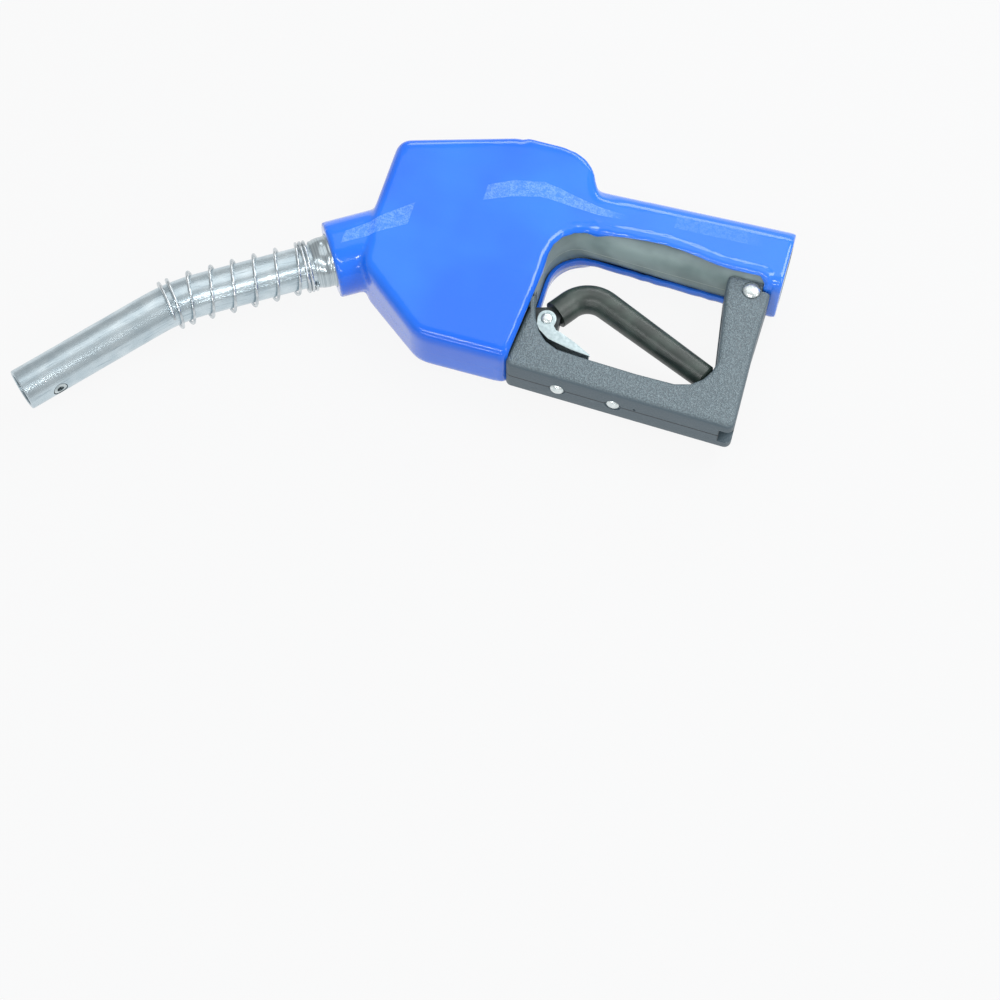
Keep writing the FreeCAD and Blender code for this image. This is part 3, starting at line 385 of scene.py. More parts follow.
class Finish:
    """A material: its constants go on the shader, and what varies goes in through nodes."""

    def __init__(self, name, colour, roughness, **constants):
        self.material = bpy.data.materials.new(name)
        self.material.use_nodes = True
        self.tree = self.material.node_tree
        self.shader = self.tree.nodes["Principled BSDF"]
        self.shader.inputs["Base Color"].default_value = colour
        self.shader.inputs["Roughness"].default_value = roughness
        for key, value in constants.items():
            self.shader.inputs[key.replace("_", " ")].default_value = value
        self.place = self.node("ShaderNodeTexCoord", {}, {}, "Object")

    def node(self, kind, settings, sockets, output=0):
        """Add a node: its settings first, then the values or wires of its sockets."""
        node = self.tree.nodes.new(kind)
        for key, value in settings.items():
            if key == "stops":
                self.set_stops(node, value)
            else:
                setattr(node, key, value)
        for key, value in sockets.items():
            if isinstance(value, Wire):
                self.tree.links.new(value.socket, node.inputs[key])
            else:
                node.inputs[key].default_value = value
        return Wire(self, node.outputs[output])

    def set_stops(self, node, stops):
        elements = node.color_ramp.elements
        while len(elements) < len(stops):
            elements.new(0.5)
        for element, (place, level) in zip(elements, stops):
            element.position = place
            element.color = (level, level, level, 1)

    def axes(self, place=None):
        """The three coordinates of a place, each as a wire."""
        apart = self.node("ShaderNodeSeparateXYZ", {}, {"Vector": place or self.place})
        return [Wire(self, socket) for socket in apart.socket.node.outputs]

    def noise(self, scale, detail=2.0, place=None, **more):
        return self.node("ShaderNodeTexNoise", {}, {"Vector": place or self.place, "Scale": scale,
                                                    "Detail": detail, **more})

    def cells(self, scale):
        """The distance from the nearest cell's middle, for a pebbled grain."""
        return self.node("ShaderNodeTexVoronoi", {"feature": "SMOOTH_F1"},
                         {"Vector": self.place, "Scale": scale})

    def stretch(self, *scale, place=None):
        return self.node("ShaderNodeMapping", {}, {"Vector": place or self.place, "Scale": scale})

    def mix(self, factor, first, second):
        return self.node("ShaderNodeMix", {"data_type": "RGBA"},
                         {0: factor, 6: first, 7: second}, 2)

    def feed(self, socket, wire):
        self.tree.links.new(wire.socket, self.shader.inputs[socket])

    def tint(self, factor, first, second):
        """Vary the base colour between two tones."""
        self.feed("Base Color", self.mix(factor, first, second))

    def relief(self, height, distance, strength=1.0):
        """Raise the surface by a height in metres times distance."""
        self.feed("Normal", self.node("ShaderNodeBump", {}, {
            "Height": height, "Distance": distance, "Strength": strength}))

    def put_on(self, *pieces):
        for piece in pieces:
            piece.data.materials.clear()
            piece.data.materials.append(self.material)


coat = Finish("dark_coated_casting", srgb(104, 120, 117), 0.42, Specular_IOR_Level=0.5)
speckle = coat.noise(900, 3)
shade = coat.noise(60, 2)
parting_ridge_highlight = 1 - abs(coat.axes()[2]).between(0.00012, 0.00034)
coated = coat.mix(shade.between(0.35, 0.7), srgb(120, 140, 140), srgb(146, 166, 166))
# The parting line's ridge is tinted near white: a painted highlight along it.
coat.tint(parting_ridge_highlight * 0.55, coated, srgb(206, 216, 208))
coat.feed("Roughness", 0.34 + speckle * 0.2)
coat.relief(speckle * 0.35 + parting_ridge_highlight, 0.00022, 0.7)
coat.put_on(casting)

# ------------------------------------------------------------------ scuff cover
# A soft vinyl skin, dipped hot over the casting: about 1.8 mm thick and glossy, with crisp
# but rounded edges. It is open along the handle's underside and at the head's rear face.
def plate(name, outline, low, high):
    """A flat piece from its outline, between two heights."""
    bpy.ops.mesh.primitive_plane_add(size=0.001, location=(*outline[0], low))
    piece = settle(name)
    edit(piece)
    bpy.ops.mesh.merge(type="CENTER")
    for start, end in zip(outline, outline[1:]):
        step = (end[0] - start[0], end[1] - start[1], 0)
        bpy.ops.mesh.extrude_vertices_move(TRANSFORM_OT_translate={"value": step})
    bpy.ops.mesh.select_all(action="SELECT")
    bpy.ops.mesh.edge_face_add()
    bpy.ops.mesh.select_mode(type="FACE")
    bpy.ops.mesh.select_all(action="SELECT")
    bpy.ops.mesh.extrude_region_move(TRANSFORM_OT_translate={"value": (0, 0, high - low)})
    bpy.ops.mesh.select_all(action="SELECT")
    bpy.ops.mesh.normals_make_consistent(inside=False)
    return done()


def open_up(skin, *cutters):
    """Cut holes in a closed skin and delete the walls that the cutters leave."""
    for piece in (skin, *cutters):
        for name in ("skin", "cut_wall"):
            piece.data.materials.append(bpy.data.materials.get(name)
                                        or bpy.data.materials.new(name))
    for cutter in cutters:
        edit(cutter, "FACE")
        cutter.active_material_index = 1
        bpy.ops.object.material_slot_assign()
        done()
    carve(skin, *cutters)
    edit(skin, "FACE")
    choose(skin, "FACE", lambda face: face.material_index == 1)
    bpy.ops.mesh.delete(type="FACE")
    return done()


COVER_WALL, COVER_EDGE = 0.0018, 0.0005
NEAR_WINDOW = [
    (-0.0085, -0.0884), (-0.0085, -0.0165), (-0.0115, -0.0142), (-0.025, -0.0144),
    (-0.0335, -0.0138), (-0.0422, -0.0124), (-0.0508, -0.0111), (-0.0593, -0.0104),
    (-0.0676, -0.0106), (-0.0791, -0.0113), (-0.0872, -0.0124), (-0.094, -0.0142),
    (-0.0986, -0.0151), (-0.10295, -0.0169), (-0.1077, -0.0209), (-0.1108, -0.0263),
    (-0.1119, -0.0324), (-0.1117, -0.0425), (-0.1159, -0.0884)]
FAR_WINDOW = [
    (-0.0085, -0.0884), (-0.0085, -0.0165), (-0.0115, -0.0142), (-0.025, -0.0135),
    (-0.0872, -0.0125), (-0.0964, -0.0132), (-0.104, -0.0172), (-0.1092, -0.0237),
    (-0.112, -0.0325), (-0.1129, -0.0425), (-0.117, -0.0884)]
cover = body_form("cover_skin", inset=0.0, belly=0.0, corner=0.0068, grain=0.00125)
open_up(cover,
        plate("near_window", NEAR_WINDOW, -0.0002, 0.03),
        plate("far_window", FAR_WINDOW, -0.0078, 0.0002),
        bar("nose_mouth", 0.0134, NOSE - INWARD * 0.004, NOSE + INWARD * 0.004, 96),
        bar("inlet_mouth", 0.0152, (-0.003, 0, 0), (0.003, 0, 0), 96))
edit(cover, "EDGE")
bpy.ops.mesh.select_all(action="DESELECT")
bpy.ops.mesh.select_non_manifold(use_wire=False, use_multi_face=False, use_non_contiguous=False,
                                 use_verts=False)
bpy.ops.mesh.remove_doubles(threshold=0.00045)
rim = {vertex.index for vertex in bmesh.from_edit_mesh(cover.data).verts if vertex.select}
bpy.ops.mesh.select_all(action="SELECT")
bpy.ops.mesh.quads_convert_to_tris()
done()

# The window's edge ends in a soft bead, fuller under the hand and thinner at the head.
BEAD_START, BEAD_WIDTH, BEAD_RISE = 0.0002, 0.0058, 0.0011
edge_points = KDTree(len(rim))
for index in rim:
    edge_points.insert(cover.data.vertices[index].co, index)
edge_points.balance()
bead = cover.vertex_groups.new(name="bead")
for vertex in cover.data.vertices:
    away = edge_points.find(vertex.co)[2]
    along_nose = (vertex.co - NOSE).dot(INWARD)
    if away < BEAD_WIDTH and vertex.co.x < -0.006 and along_nose > 0.006:
        swell = math.sin(math.pi * (away + BEAD_START) / (BEAD_START + BEAD_WIDTH))
        wave = 0.85 + 0.15 * math.sin(vertex.co.x * 520 + 1.5 * math.sin(vertex.co.x * 190))
        on_handle = min(1, max(0, (vertex.co.x + 0.112) / 0.022))
        bead.add([vertex.index], swell * wave * (0.5 + 0.5 * on_handle), "REPLACE")
modify(cover, "SMOOTH", factor=0.5, iterations=3, vertex_group="bead")
modify(cover, "DISPLACE", strength=BEAD_RISE, mid_level=0, vertex_group="bead")
cover.vertex_groups.clear()
modify(cover, "SOLIDIFY", thickness=COVER_WALL, offset=-1, use_even_offset=False)
modify(cover, "BEVEL", width=COVER_EDGE, segments=2, limit_method="ANGLE",
       angle_limit=math.radians(50), use_clamp_overlap=True)
select_only(cover)
bpy.ops.object.shade_smooth()
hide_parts("scuff_cover")
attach(cover, "nozzle_body")

vinyl = Finish("blue_dipped_vinyl", srgb(22, 106, 236), 0.2, Coat_Weight=0.65,
               Coat_Roughness=0.06, Specular_IOR_Level=0.3)
x, y, z = vinyl.axes()


def worn_band(middle, half_width, start, end, fade):
    """A stippled matte band along X on the sides, worn by the hand and the tank's rim."""
    across = abs(y - middle)
    within = 1 - (across / half_width).between(0.92, 1.04)
    return within * x.between(start, start + 0.0006) * (1 - x.between(end - fade, end))


reach = x.along(-0.15, -0.08)
crest = reach.ramp((0, 0.0), (0.17, 0.62), (0.37, 0.99), (0.59, 0.83), (0.78, 0.74), (1, 0.88))
breadth = reach.ramp((0, 0.92), (0.17, 1.0), (0.37, 0.9), (0.59, 0.64), (0.78, 0.46), (1, 0.26))
crown_band = worn_band(crest * 0.0095 - 0.0088, breadth * 0.005,
                       start=-0.1505, end=-0.080, fade=0.016)
run = x.along(-0.2105, -0.18)
nose_band = worn_band(run * 0.0228 - 0.0522, run * 0.0031 + 0.0034,
                      start=-0.2095, end=-0.181, fade=0.0006)
grip_band = worn_band(x * 0.02 + 0.0052, 0.0042, start=-0.058, end=-0.012, fade=0.014) * 0.35
worn = (crown_band + nose_band + grip_band) * abs(z).between(0.0128, 0.0142)
stipple = vinyl.noise(1500, 2)
patchy = vinyl.noise(420, 2)
worn = worn * (0.45 + 0.55 * patchy.between(0.35, 0.6))
drift = vinyl.noise(22, 2)
# The handle is painted lighter than the head: painted light, as if lit more from above and
# behind.
handle_painted_light = x.between(-0.115, -0.06) * 0.4
fresh = vinyl.mix(drift.between(0.3, 0.75), srgb(14, 103, 232), srgb(28, 118, 243))
fresh = vinyl.mix(handle_painted_light, fresh, srgb(66, 140, 250))
vinyl.tint(worn * (0.25 + 0.75 * stipple.between(0.35, 0.65)) * 0.55,
           fresh, srgb(150, 190, 252))
vinyl.feed("Roughness", 0.16 + worn * 0.34 + 0.07 * vinyl.noise(140, 3))
vinyl.feed("Coat Weight", 0.65 - worn * 0.6)
mould_line = 1 - abs(z).between(0.00015, 0.0004)
vinyl.relief(stipple * worn * 0.6 + vinyl.noise(35, 2) * 1.3 + mould_line * 0.3, 0.0003, 0.55)
vinyl.put_on(cover)

# ------------------------------------------------------------------ guard halves
# The lever guard is two glass-filled nylon mouldings, riveted together on the middle plane.
# Each is rough with a leather grain, has rounded edges and is cut out for what it holds.
GUARD_HALF, GUARD_CORNER, GUARD_EDGE, PARTING = 0.012, 0.0034, 0.0027, 0.00012
LEG_RIVET, RACK_RIVETS = Vector((-0.0136, -0.0204, 0)), (-0.0901, -0.0624)
GUARD_OUTLINE = [
    (-0.1166, -0.0914), (-0.004, -0.0944), (-0.005, -0.0475), (-0.004, 0), (-0.026, 0),
    (-0.026, -0.0204), (-0.02, -0.062), (-0.0212, -0.0672), (-0.0243, -0.0725),
    (-0.0293, -0.0766), (-0.0365, -0.0787), (-0.055, -0.0787), (-0.082, -0.0775),
    (-0.0945, -0.0767), (-0.1008, -0.074), (-0.1055, -0.0695), (-0.1085, -0.064),
    (-0.1103, -0.0585), (-0.1118, -0.0525), (-0.1127, -0.049)]
guard = plate("guard", GUARD_OUTLINE, -GUARD_HALF, GUARD_HALF)
edit(guard, "EDGE")
choose(guard, "EDGE", lambda edge: abs(edge.verts[0].co.z - edge.verts[1].co.z) > 0.01 and
       (edge.verts[0].co.y < -0.09 or edge.verts[0].co.y > -0.001))
bpy.ops.mesh.bevel(offset=GUARD_CORNER, segments=5, affect="EDGES")
choose(guard, "EDGE", lambda edge: abs(edge.verts[0].co.z - edge.verts[1].co.z) < 0.0001)
bpy.ops.mesh.bevel(offset=GUARD_EDGE, segments=5, affect="EDGES", clamp_overlap=False)
done()
HANDLE_ROOM = 0.0182
handle_room = block("handle_room", (-0.05, -0.016, -HANDLE_ROOM), (0.01, 0.016, HANDLE_ROOM))
edit(handle_room, "EDGE")
choose(handle_room, "EDGE", lambda edge: abs(edge.verts[0].co.x - edge.verts[1].co.x) > 0.05)
bpy.ops.mesh.bevel(offset=0.0095, segments=10, affect="EDGES")
done()
LEG_RECESS, RACK_RECESS = 0.00475, 0.0041
near, far = LEG_RIVET + Vector((0, 0, 0.0116)), LEG_RIVET - Vector((0, 0, 0.0116))
outside = Vector((0, 0, 0.0024))
front, rear = RACK_RIVETS
carve(guard, handle_room,
      block("lug_room", (-0.0222, -0.0272, -0.0042), (-0.0053, 0, 0.0042)),
      block("clip_room", (-0.1105, -0.086, -0.0104), (-0.074, -0.049, 0.0104)),
      block("lever_slot", (-0.12, -0.0775, -SLOT_HALF), (-0.1053, 0, SLOT_HALF)),
      block("lever_room", (-0.034, -0.0864, -0.0075), (-0.014, -0.0285, 0.0075)),
      block("drain_slot", (-0.0105, -0.098, -0.0055), (0, -0.0872, 0.0055)),
      block("leg_notch", (-0.0088, -0.0196, -0.013), (0.001, 0.001, 0.013)),
      bar("near_recess", LEG_RECESS, near, near + outside, 48),
      bar("far_recess", LEG_RECESS, far - outside, far, 48),
      bar("front_recess", RACK_RECESS, (front, -0.1, 0), (front, -0.0919, 0), 48),
      bar("middle_recess", RACK_RECESS, (rear, -0.1, 0), (rear, -0.0924, 0), 48),
      bar("pin_hole", 0.0007, (-0.0518, -0.1, 0.0016), (-0.0518, -0.088, 0.0016), 16))


def halved(whole, name, side):
    """One side of a piece, cut on the middle plane."""
    half = whole.copy()
    half.data = whole.data.copy()
    bpy.context.scene.collection.objects.link(half)
    half.name = half.data.name = name
    edit(half)
    bpy.ops.mesh.bisect(plane_co=(0, 0, PARTING * side), plane_no=(0, 0, -side), use_fill=True,
                        clear_outer=True)
    return done()


guard_left = halved(guard, "guard_left_moulding", 1)
guard_right = halved(guard, "guard_right_moulding", -1)
bpy.data.objects.remove(guard)
nylon = Finish("grained_black_nylon", srgb(98, 112, 119), 0.5)
x, y, z = nylon.axes()
pebble = nylon.cells(1500)
fleck = nylon.noise(2200, 2)
flat_face = abs(z).between(0.0105, 0.0117)
grain = pebble.between(0.15, 0.7)
seam = 1 - abs(z).between(0.0002, 0.0006)
tone = nylon.mix(grain, srgb(114, 130, 137), srgb(90, 103, 110))
# Off the flat side faces the nylon is painted darker: painted shade on edges, base and walls.
tone = nylon.mix(flat_face, srgb(82, 98, 107), tone)
scuffed = nylon.noise(240, 4).between(0.62, 0.8)
tone = nylon.mix(scuffed * 0.18 + fleck.between(0.66, 0.8) * 0.2, tone, srgb(150, 164, 168))
# The drain slot's inside is painted dark: painted shade in the recess.
slot_painted_shade = (x.between(-0.0112, -0.0104) * (1 - y.between(-0.0874, -0.0868))
           * (1 - abs(z).between(0.005, 0.0056)))
nylon.tint(seam * 0.8 + slot_painted_shade * 0.7, tone, srgb(30, 36, 40))
nylon.feed("Roughness", 0.33 + fleck * 0.2)
nylon.relief((1 - grain) * (0.25 + 0.75 * flat_face) + fleck * 0.2, 0.00026, 1.0)
nylon.put_on(guard_left, guard_right)
for half, node in ((guard_left, "guard_left_half"), (guard_right, "guard_right_half")):
    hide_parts(node)
    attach(half, "nozzle_body")
    smooth(half, 35)

# ------------------------------------------------------------------ lever sleeve
# A soft rubber sleeve, pushed over the lever's steel rod as far as the bend and beyond. It
# narrows towards the free end, where it is closed and rounded.
SLEEVE, SLEEVE_END, SLEEVE_BEND, PARTS = 0.007, 0.0062, 0.014, 6
root, corner = Vector((-0.1015, -0.0535, 0)), Vector((-0.09, -0.037, 0))
end = Vector((-0.024, -0.066, 0))
rise, fall = (corner - root).normalized(), (end - corner).normalized()
swing = rise.angle(fall)
reach = SLEEVE_BEND * math.tan(swing / 2)
bpy.ops.mesh.primitive_circle_add(vertices=48, radius=SLEEVE, fill_type="NGON", location=root,
                                  rotation=rise.to_track_quat("Z", "Y").to_euler())
sleeve = settle("lever_rubber")
edit(sleeve, "FACE")
bpy.ops.mesh.extrude_region_move(
    TRANSFORM_OT_translate={"value": corner - rise * reach - root})
bpy.ops.mesh.spin(steps=20, angle=-swing, axis=(0, 0, -1),
                  center=corner - rise * reach + Vector((rise.y, -rise.x, 0)) * SLEEVE_BEND)
run = end - corner - fall * reach
for part in range(PARTS):
    bpy.ops.mesh.extrude_region_move(TRANSFORM_OT_translate={"value": run / PARTS})
    thinner = 1 - (1 - SLEEVE_END / SLEEVE) * (part + 1) / PARTS
    before = 1 - (1 - SLEEVE_END / SLEEVE) * part / PARTS
    bpy.ops.transform.resize(value=(thinner / before,) * 3,
                             center_override=corner + fall * reach + run * (part + 1) / PARTS)
bpy.ops.mesh.extrude_region_move(TRANSFORM_OT_translate={"value": fall * 0.0016})
bpy.ops.mesh.bevel(offset=0.0028, segments=5, affect="EDGES")
bpy.ops.mesh.select_all(action="SELECT")
bpy.ops.mesh.normals_make_consistent(inside=False)
done()
smooth(sleeve, 50)
rubber = Finish("satin_black_rubber", srgb(44, 54, 54), 0.34, Specular_IOR_Level=0.8)
blush = rubber.noise(130, 3)
dust = rubber.noise(1100, 3)
rubber.tint(blush.between(0.35, 0.75), srgb(32, 44, 40), srgb(52, 67, 61))
rubber.feed("Roughness", 0.26 + 0.14 * blush + 0.1 * dust)
rubber.relief(dust + blush * 0.8, 0.00012, 0.5)
rubber.put_on(sleeve)
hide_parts("lever_sleeve")
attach(sleeve, "lever")

# ------------------------------------------------------------------ hold-open clip
# A stamped and folded clip of bright zinc-plated steel: two cheeks with round eyes, joined by
# a web along the lower edge. It turns on a rivet through the lever.
EYE, EYE_RADIUS = Vector((-0.1038, -0.0619, 0)), 0.0045
BLADE = [(-0.1076, -0.066), (-0.1057, -0.0686), (-0.1004, -0.0722), (-0.0884, -0.0748),
         (-0.0793, -0.0758), (-0.0788, -0.0754), (-0.0796, -0.0748), (-0.0876, -0.0706),
         (-0.0958, -0.0672), (-0.0979, -0.0668), (-0.0998, -0.0646), (-0.0994, -0.0628),
         (-0.1045, -0.0605), (-0.1083, -0.0619)]
WEB = [(-0.1059, -0.0685), (-0.1004, -0.0722), (-0.0884, -0.0748), (-0.0793, -0.0758),
       (-0.0792, -0.0747), (-0.0884, -0.0735), (-0.1, -0.071), (-0.105, -0.0675)]
INSIDE, OUTSIDE, WEB_HALF = 0.0088, 0.01, 0.0098
cheeks = []
for side in (1, -1):
    low, high = sorted((INSIDE * side, OUTSIDE * side))
    cheek = plate("cheek", BLADE, low, high)
    weld(cheek, bar("eye", EYE_RADIUS, (EYE.x, EYE.y, low), (EYE.x, EYE.y, high), 48))
    cheeks.append(cheek)
clip = cheeks[0]
clip.name = clip.data.name = "open_clip"
weld(clip, plate("web", WEB, -WEB_HALF, WEB_HALF), cheeks[1])
modify(clip, "BEVEL", width=0.00035, segments=3, limit_method="ANGLE",
       angle_limit=math.radians(40))
smooth(clip, 35)
zinc = Finish("bright_zinc_plate", srgb(206, 218, 219), 0.26, Metallic=0.92)
spangle = zinc.noise(520, 3)
zinc.tint(spangle.between(0.3, 0.7), srgb(176, 194, 198), srgb(198, 214, 218))
zinc.feed("Roughness", 0.24 + spangle * 0.14)
zinc.relief(spangle, 0.00002, 0.4)
zinc.put_on(clip)
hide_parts("hold_open_clip")
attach(clip, "hold_open_clip")

# ------------------------------------------------------------------ spout tube
# The spout is drawn aluminium tube, bent down 17.5 degrees and cut square at the tip, with a
# sensing port in its underside. Its skin is dull, streaked lengthwise and scuffed at the tip.
SPOUT_BEND = math.radians(17.5)
BEND_RADIUS = 0.09
SPOUT_RUN, TIP_RUN, SUNK, END_ARM = 0.0776, 0.0857, 0.0213, 0.02
OUTWARD = -INWARD
TIPWARD = Vector((-math.cos(NOSE_LEAN + SPOUT_BEND), -math.sin(NOSE_LEAN + SPOUT_BEND), 0))
bend = NOSE + OUTWARD * SPOUT_RUN
tangent = BEND_RADIUS * math.tan(SPOUT_BEND / 2)
arm = BEND_RADIUS * 4 / 3 * math.tan(SPOUT_BEND / 4)
line = bpy.data.curves.new("spout_line", "CURVE")
line.dimensions = "2D"
line.resolution_u = 24
spline = line.splines.new("BEZIER")
spline.bezier_points.add(3)
stations = ((NOSE + INWARD * SUNK, OUTWARD, END_ARM, END_ARM),
            (bend - OUTWARD * tangent, OUTWARD, END_ARM, arm),
            (bend + TIPWARD * tangent, TIPWARD, arm, END_ARM),
            (bend + TIPWARD * TIP_RUN, TIPWARD, END_ARM, END_ARM))
for point, (spot, way, before, after) in zip(spline.bezier_points, stations):
    point.handle_left_type = point.handle_right_type = "FREE"
    point.co = spot
    point.handle_left = spot - way * before
    point.handle_right = spot + way * after
spout_line = bpy.data.objects.new("spout_line", line)
bpy.context.scene.collection.objects.link(spout_line)
SPOUT_LENGTH = SUNK + SPOUT_RUN + TIP_RUN - 2 * tangent + BEND_RADIUS * SPOUT_BEND
SPOUT, BORE = 0.0103, 0.0087


def bent(piece):
    """Bend a piece that lies along X so that it follows the spout, from its sunk end."""
    modify(piece, "CURVE", object=spout_line, deform_axis="POS_X")
    smooth(piece, 35)
    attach(piece, "nozzle_body")
    return piece


def unroll(piece, length):
    """Keep each point's share of the length and its angle as the piece's UV map."""
    flat = piece.data.uv_layers.new(name="unrolled")
    for face in piece.data.polygons:
        spots = [piece.data.vertices[vertex].co for vertex in face.vertices]
        angles = [math.atan2(spot.z, spot.y) for spot in spots]
        for loop, spot, angle in zip(face.loop_indices, spots, angles):
            if angle < max(angles) - math.pi:
                angle += 2 * math.pi
            flat.data[loop].uv = (spot.x / length, angle / 2 / math.pi)


STATIONS = 46
levels = [SPOUT_LENGTH * step / STATIONS for step in range(1, STATIONS)]
spout = turned("spout_drawn_tube", [
    (0, BORE), (0, SPOUT), *[(level, SPOUT) for level in levels],
    (SPOUT_LENGTH - 0.0005, SPOUT), (SPOUT_LENGTH - 0.0001, SPOUT - 0.0003),
    (SPOUT_LENGTH, SPOUT - 0.0007), (SPOUT_LENGTH, BORE + 0.0004),
    (SPOUT_LENGTH - 0.0004, BORE), *[(level, BORE) for level in reversed(levels)], (0, BORE)], 72)
unroll(spout, SPOUT_LENGTH)
bent(spout)
port_low, port_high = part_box("sensing_port_bush")
port = (port_low + port_high) / 2
port_radius = (port_high.z - port_low.z) / 2 + 0.0005
through = Vector((-TIPWARD.y, TIPWARD.x, 0)) * 0.005
carve(spout, bar("port_hole", port_radius, port - through, port + through, 48))
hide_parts("spout_tube")
drawn = Finish("drawn_aluminium", srgb(196, 208, 214), 0.34, Metallic=0.95)
unrolled = drawn.node("ShaderNodeUVMap", {"uv_map": "unrolled"}, {})
long_lines = drawn.noise(1.0, 4, drawn.stretch(16, 75, 1, place=unrolled), Distortion=0.2)
fine_lines = drawn.noise(1.0, 3, drawn.stretch(26, 300, 1, place=unrolled))
blotch = drawn.noise(95, 3)
tip = drawn.axes(unrolled)[0].between(0.93, 0.99)
streak = long_lines.between(0.52, 0.74)
clean = drawn.mix(blotch.between(0.3, 0.75), srgb(190, 206, 214), srgb(212, 225, 231))
drawn.tint(streak * 0.42 + tip * blotch.between(0.45, 0.7) * 0.3, clean, srgb(118, 138, 151))
drawn.feed("Roughness", 0.2 + 0.14 * fine_lines + 0.1 * streak)
drawn.relief(fine_lines * 0.4 + long_lines * 0.7, 0.00011, 0.6)
drawn.put_on(spout)

# ------------------------------------------------------------------ spout spring
# The anchor spring is bright spring wire, wound with close turns against the collar and at
# the far end and open turns between. It grips the filler neck's rim.
WIRE, COIL, STEPS_PER_TURN = 0.0008, 0.0121, 32


def wound(name, start_level, start_turn, turns, length):
    """Part of the spring, along X, from one angle to another."""
    bpy.ops.mesh.primitive_circle_add(vertices=12, radius=WIRE, fill_type="NOTHING",
                                      location=(0, COIL, 0))
    part = settle(name)
    steps = round(turns * STEPS_PER_TURN)
    modify(part, "SCREW", axis="X", angle=-2 * math.pi * turns, screw_offset=length, steps=steps,
           render_steps=steps, use_merge_vertices=False, iterations=1)
    return lay(part, (start_level, 0, 0), -start_turn * 2 * math.pi, 0, 0)


COLLAR_RUN = 0.009
windings = []
level, turn = SUNK + COLLAR_RUN + WIRE, 0
for name, turns, pitch in (("spout_wire_spring", 2.65, 0.0019), ("open_turns", 5.78, 0.0108),
                           ("last_turns", 1.5, 0.0038)):
    windings.append(wound(name, level, turn, turns, turns * pitch))
    level, turn = level + turns * pitch, turn + turns
spring = join(*windings)
edit(spring)
bpy.ops.mesh.remove_doubles(threshold=0.00002)
bpy.ops.mesh.fill_holes(sides=16)
bpy.ops.mesh.normals_make_consistent(inside=False)
done()
bent(spring)
bpy.data.objects.remove(spout_line)
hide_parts("spout_spring")
wire_steel = Finish("bright_spring_wire", srgb(196, 203, 206), 0.22, Metallic=1.0)
drawn_marks = wire_steel.noise(260, 2)
wire_steel.tint(drawn_marks.between(0.35, 0.7), srgb(184, 193, 198), srgb(218, 224, 227))
wire_steel.feed("Roughness", 0.18 + drawn_marks * 0.12)
wire_steel.put_on(spring)

# ------------------------------------------------------------------ spout collar
# The collar is turned from aluminium and polished. It tapers towards the spout, and a groove
# near the nose takes the grub screw's ring.
COLLAR_BORE, COLLAR_SUNK = SPOUT + 0.00005, -0.016
collar = turned("spout_turned_collar", [
    (COLLAR_SUNK, COLLAR_BORE), (COLLAR_SUNK, 0.013), (-0.0002, 0.013), (0.0006, 0.0129),
    (0.0011, 0.0125), (0.0016, 0.0124), (0.003, 0.0124), (0.0035, 0.0125), (0.0068, 0.0121),
    (0.0072, 0.0118), (0.0086, 0.0116), (COLLAR_RUN, 0.0113), (COLLAR_RUN, COLLAR_BORE),
    (COLLAR_SUNK, COLLAR_BORE)], 96)
lay(collar, NOSE, 0, 0, NOSE_LEAN + math.pi)
smooth(collar, 30)
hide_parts("spout_collar")
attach(collar, "nozzle_body")
polished = Finish("turned_aluminium", srgb(205, 214, 217), 0.2, Metallic=1.0)
along_axis = polished.node("ShaderNodeMapping", {"vector_type": "TEXTURE"}, {
    "Vector": polished.place, "Location": NOSE, "Rotation": (0, 0, NOSE_LEAN)})
rings = polished.noise(1.0, 3, polished.stretch(3200, 25, 25, place=along_axis))
smear = polished.noise(180, 3)
polished.tint(rings.between(0.35, 0.75) * 0.6 + smear * 0.2,
              srgb(198, 210, 215), srgb(132, 146, 154))
polished.feed("Roughness", 0.14 + smear * 0.2)
polished.relief(rings, 0.00002, 0.5)
polished.put_on(collar)

# ------------------------------------------------------------------ rivets
# Zinc-plated steel rivets with low domed heads hold the two guard halves together at the rear
# leg, the hold-open rack to the guard's base and the clip to the lever.
def domed(name, shank, head, reach, rise):
    """A rivet along X with a domed head at each end of its shank."""
    dome = [(reach + rise * math.sin(math.radians(turn)), head * math.cos(math.radians(turn)))
            for turn in (8, 25, 42, 58, 74)]
    return turned(name, [(-reach - rise, 0), *[(-level, radius) for level, radius in dome[::-1]],
                         (-reach, head), (-reach, shank), (reach, shank), (reach, head), *dome,
                         (reach + rise, 0)], 40)


rear_rivet = lay(domed("rear_leg_rivet", 0.00295, 0.0043, 0.01195, 0.0018), LEG_RIVET,
                 0, math.pi / 2, 0)
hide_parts("guard_rear_rivet")
clip_rivet = lay(domed("clip_pivot_rivet", 0.0021, 0.003, 0.01005, 0.0014), EYE,
                 0, math.pi / 2, 0)
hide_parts("clip_rivet")
rivets = [rear_rivet, clip_rivet]
SEAT, SHANK, SHANK_END = -0.0917, 0.0019, -0.0873
for number, along in enumerate(RACK_RIVETS, 1):
    rivet = turned("rack_rivet_head", [
        (-0.0937, 0), (-0.09365, 0.001), (-0.0934, 0.002), (-0.0929, 0.0029),
        (-0.0922, 0.0034), (SEAT, 0.0035), (SEAT, SHANK), (SHANK_END, SHANK), (SHANK_END, 0)], 40)
    rivets.append(lay(rivet, (along, 0, 0), 0, 0, math.pi / 2))
    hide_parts(f"rack_rivet_{number}")
zinc_head = Finish("zinc_rivet_head", srgb(226, 236, 237), 0.24, Metallic=0.85)
peened = zinc_head.noise(700, 2)
zinc_head.tint(peened.between(0.35, 0.7), srgb(214, 225, 226), srgb(238, 244, 244))
zinc_head.feed("Roughness", 0.22 + peened * 0.12)
zinc_head.relief(peened, 0.00002, 0.4)
for rivet in rivets:
    zinc_head.put_on(rivet)
    smooth(rivet, 40)
    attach(rivet, "lever" if rivet is clip_rivet else "nozzle_body")

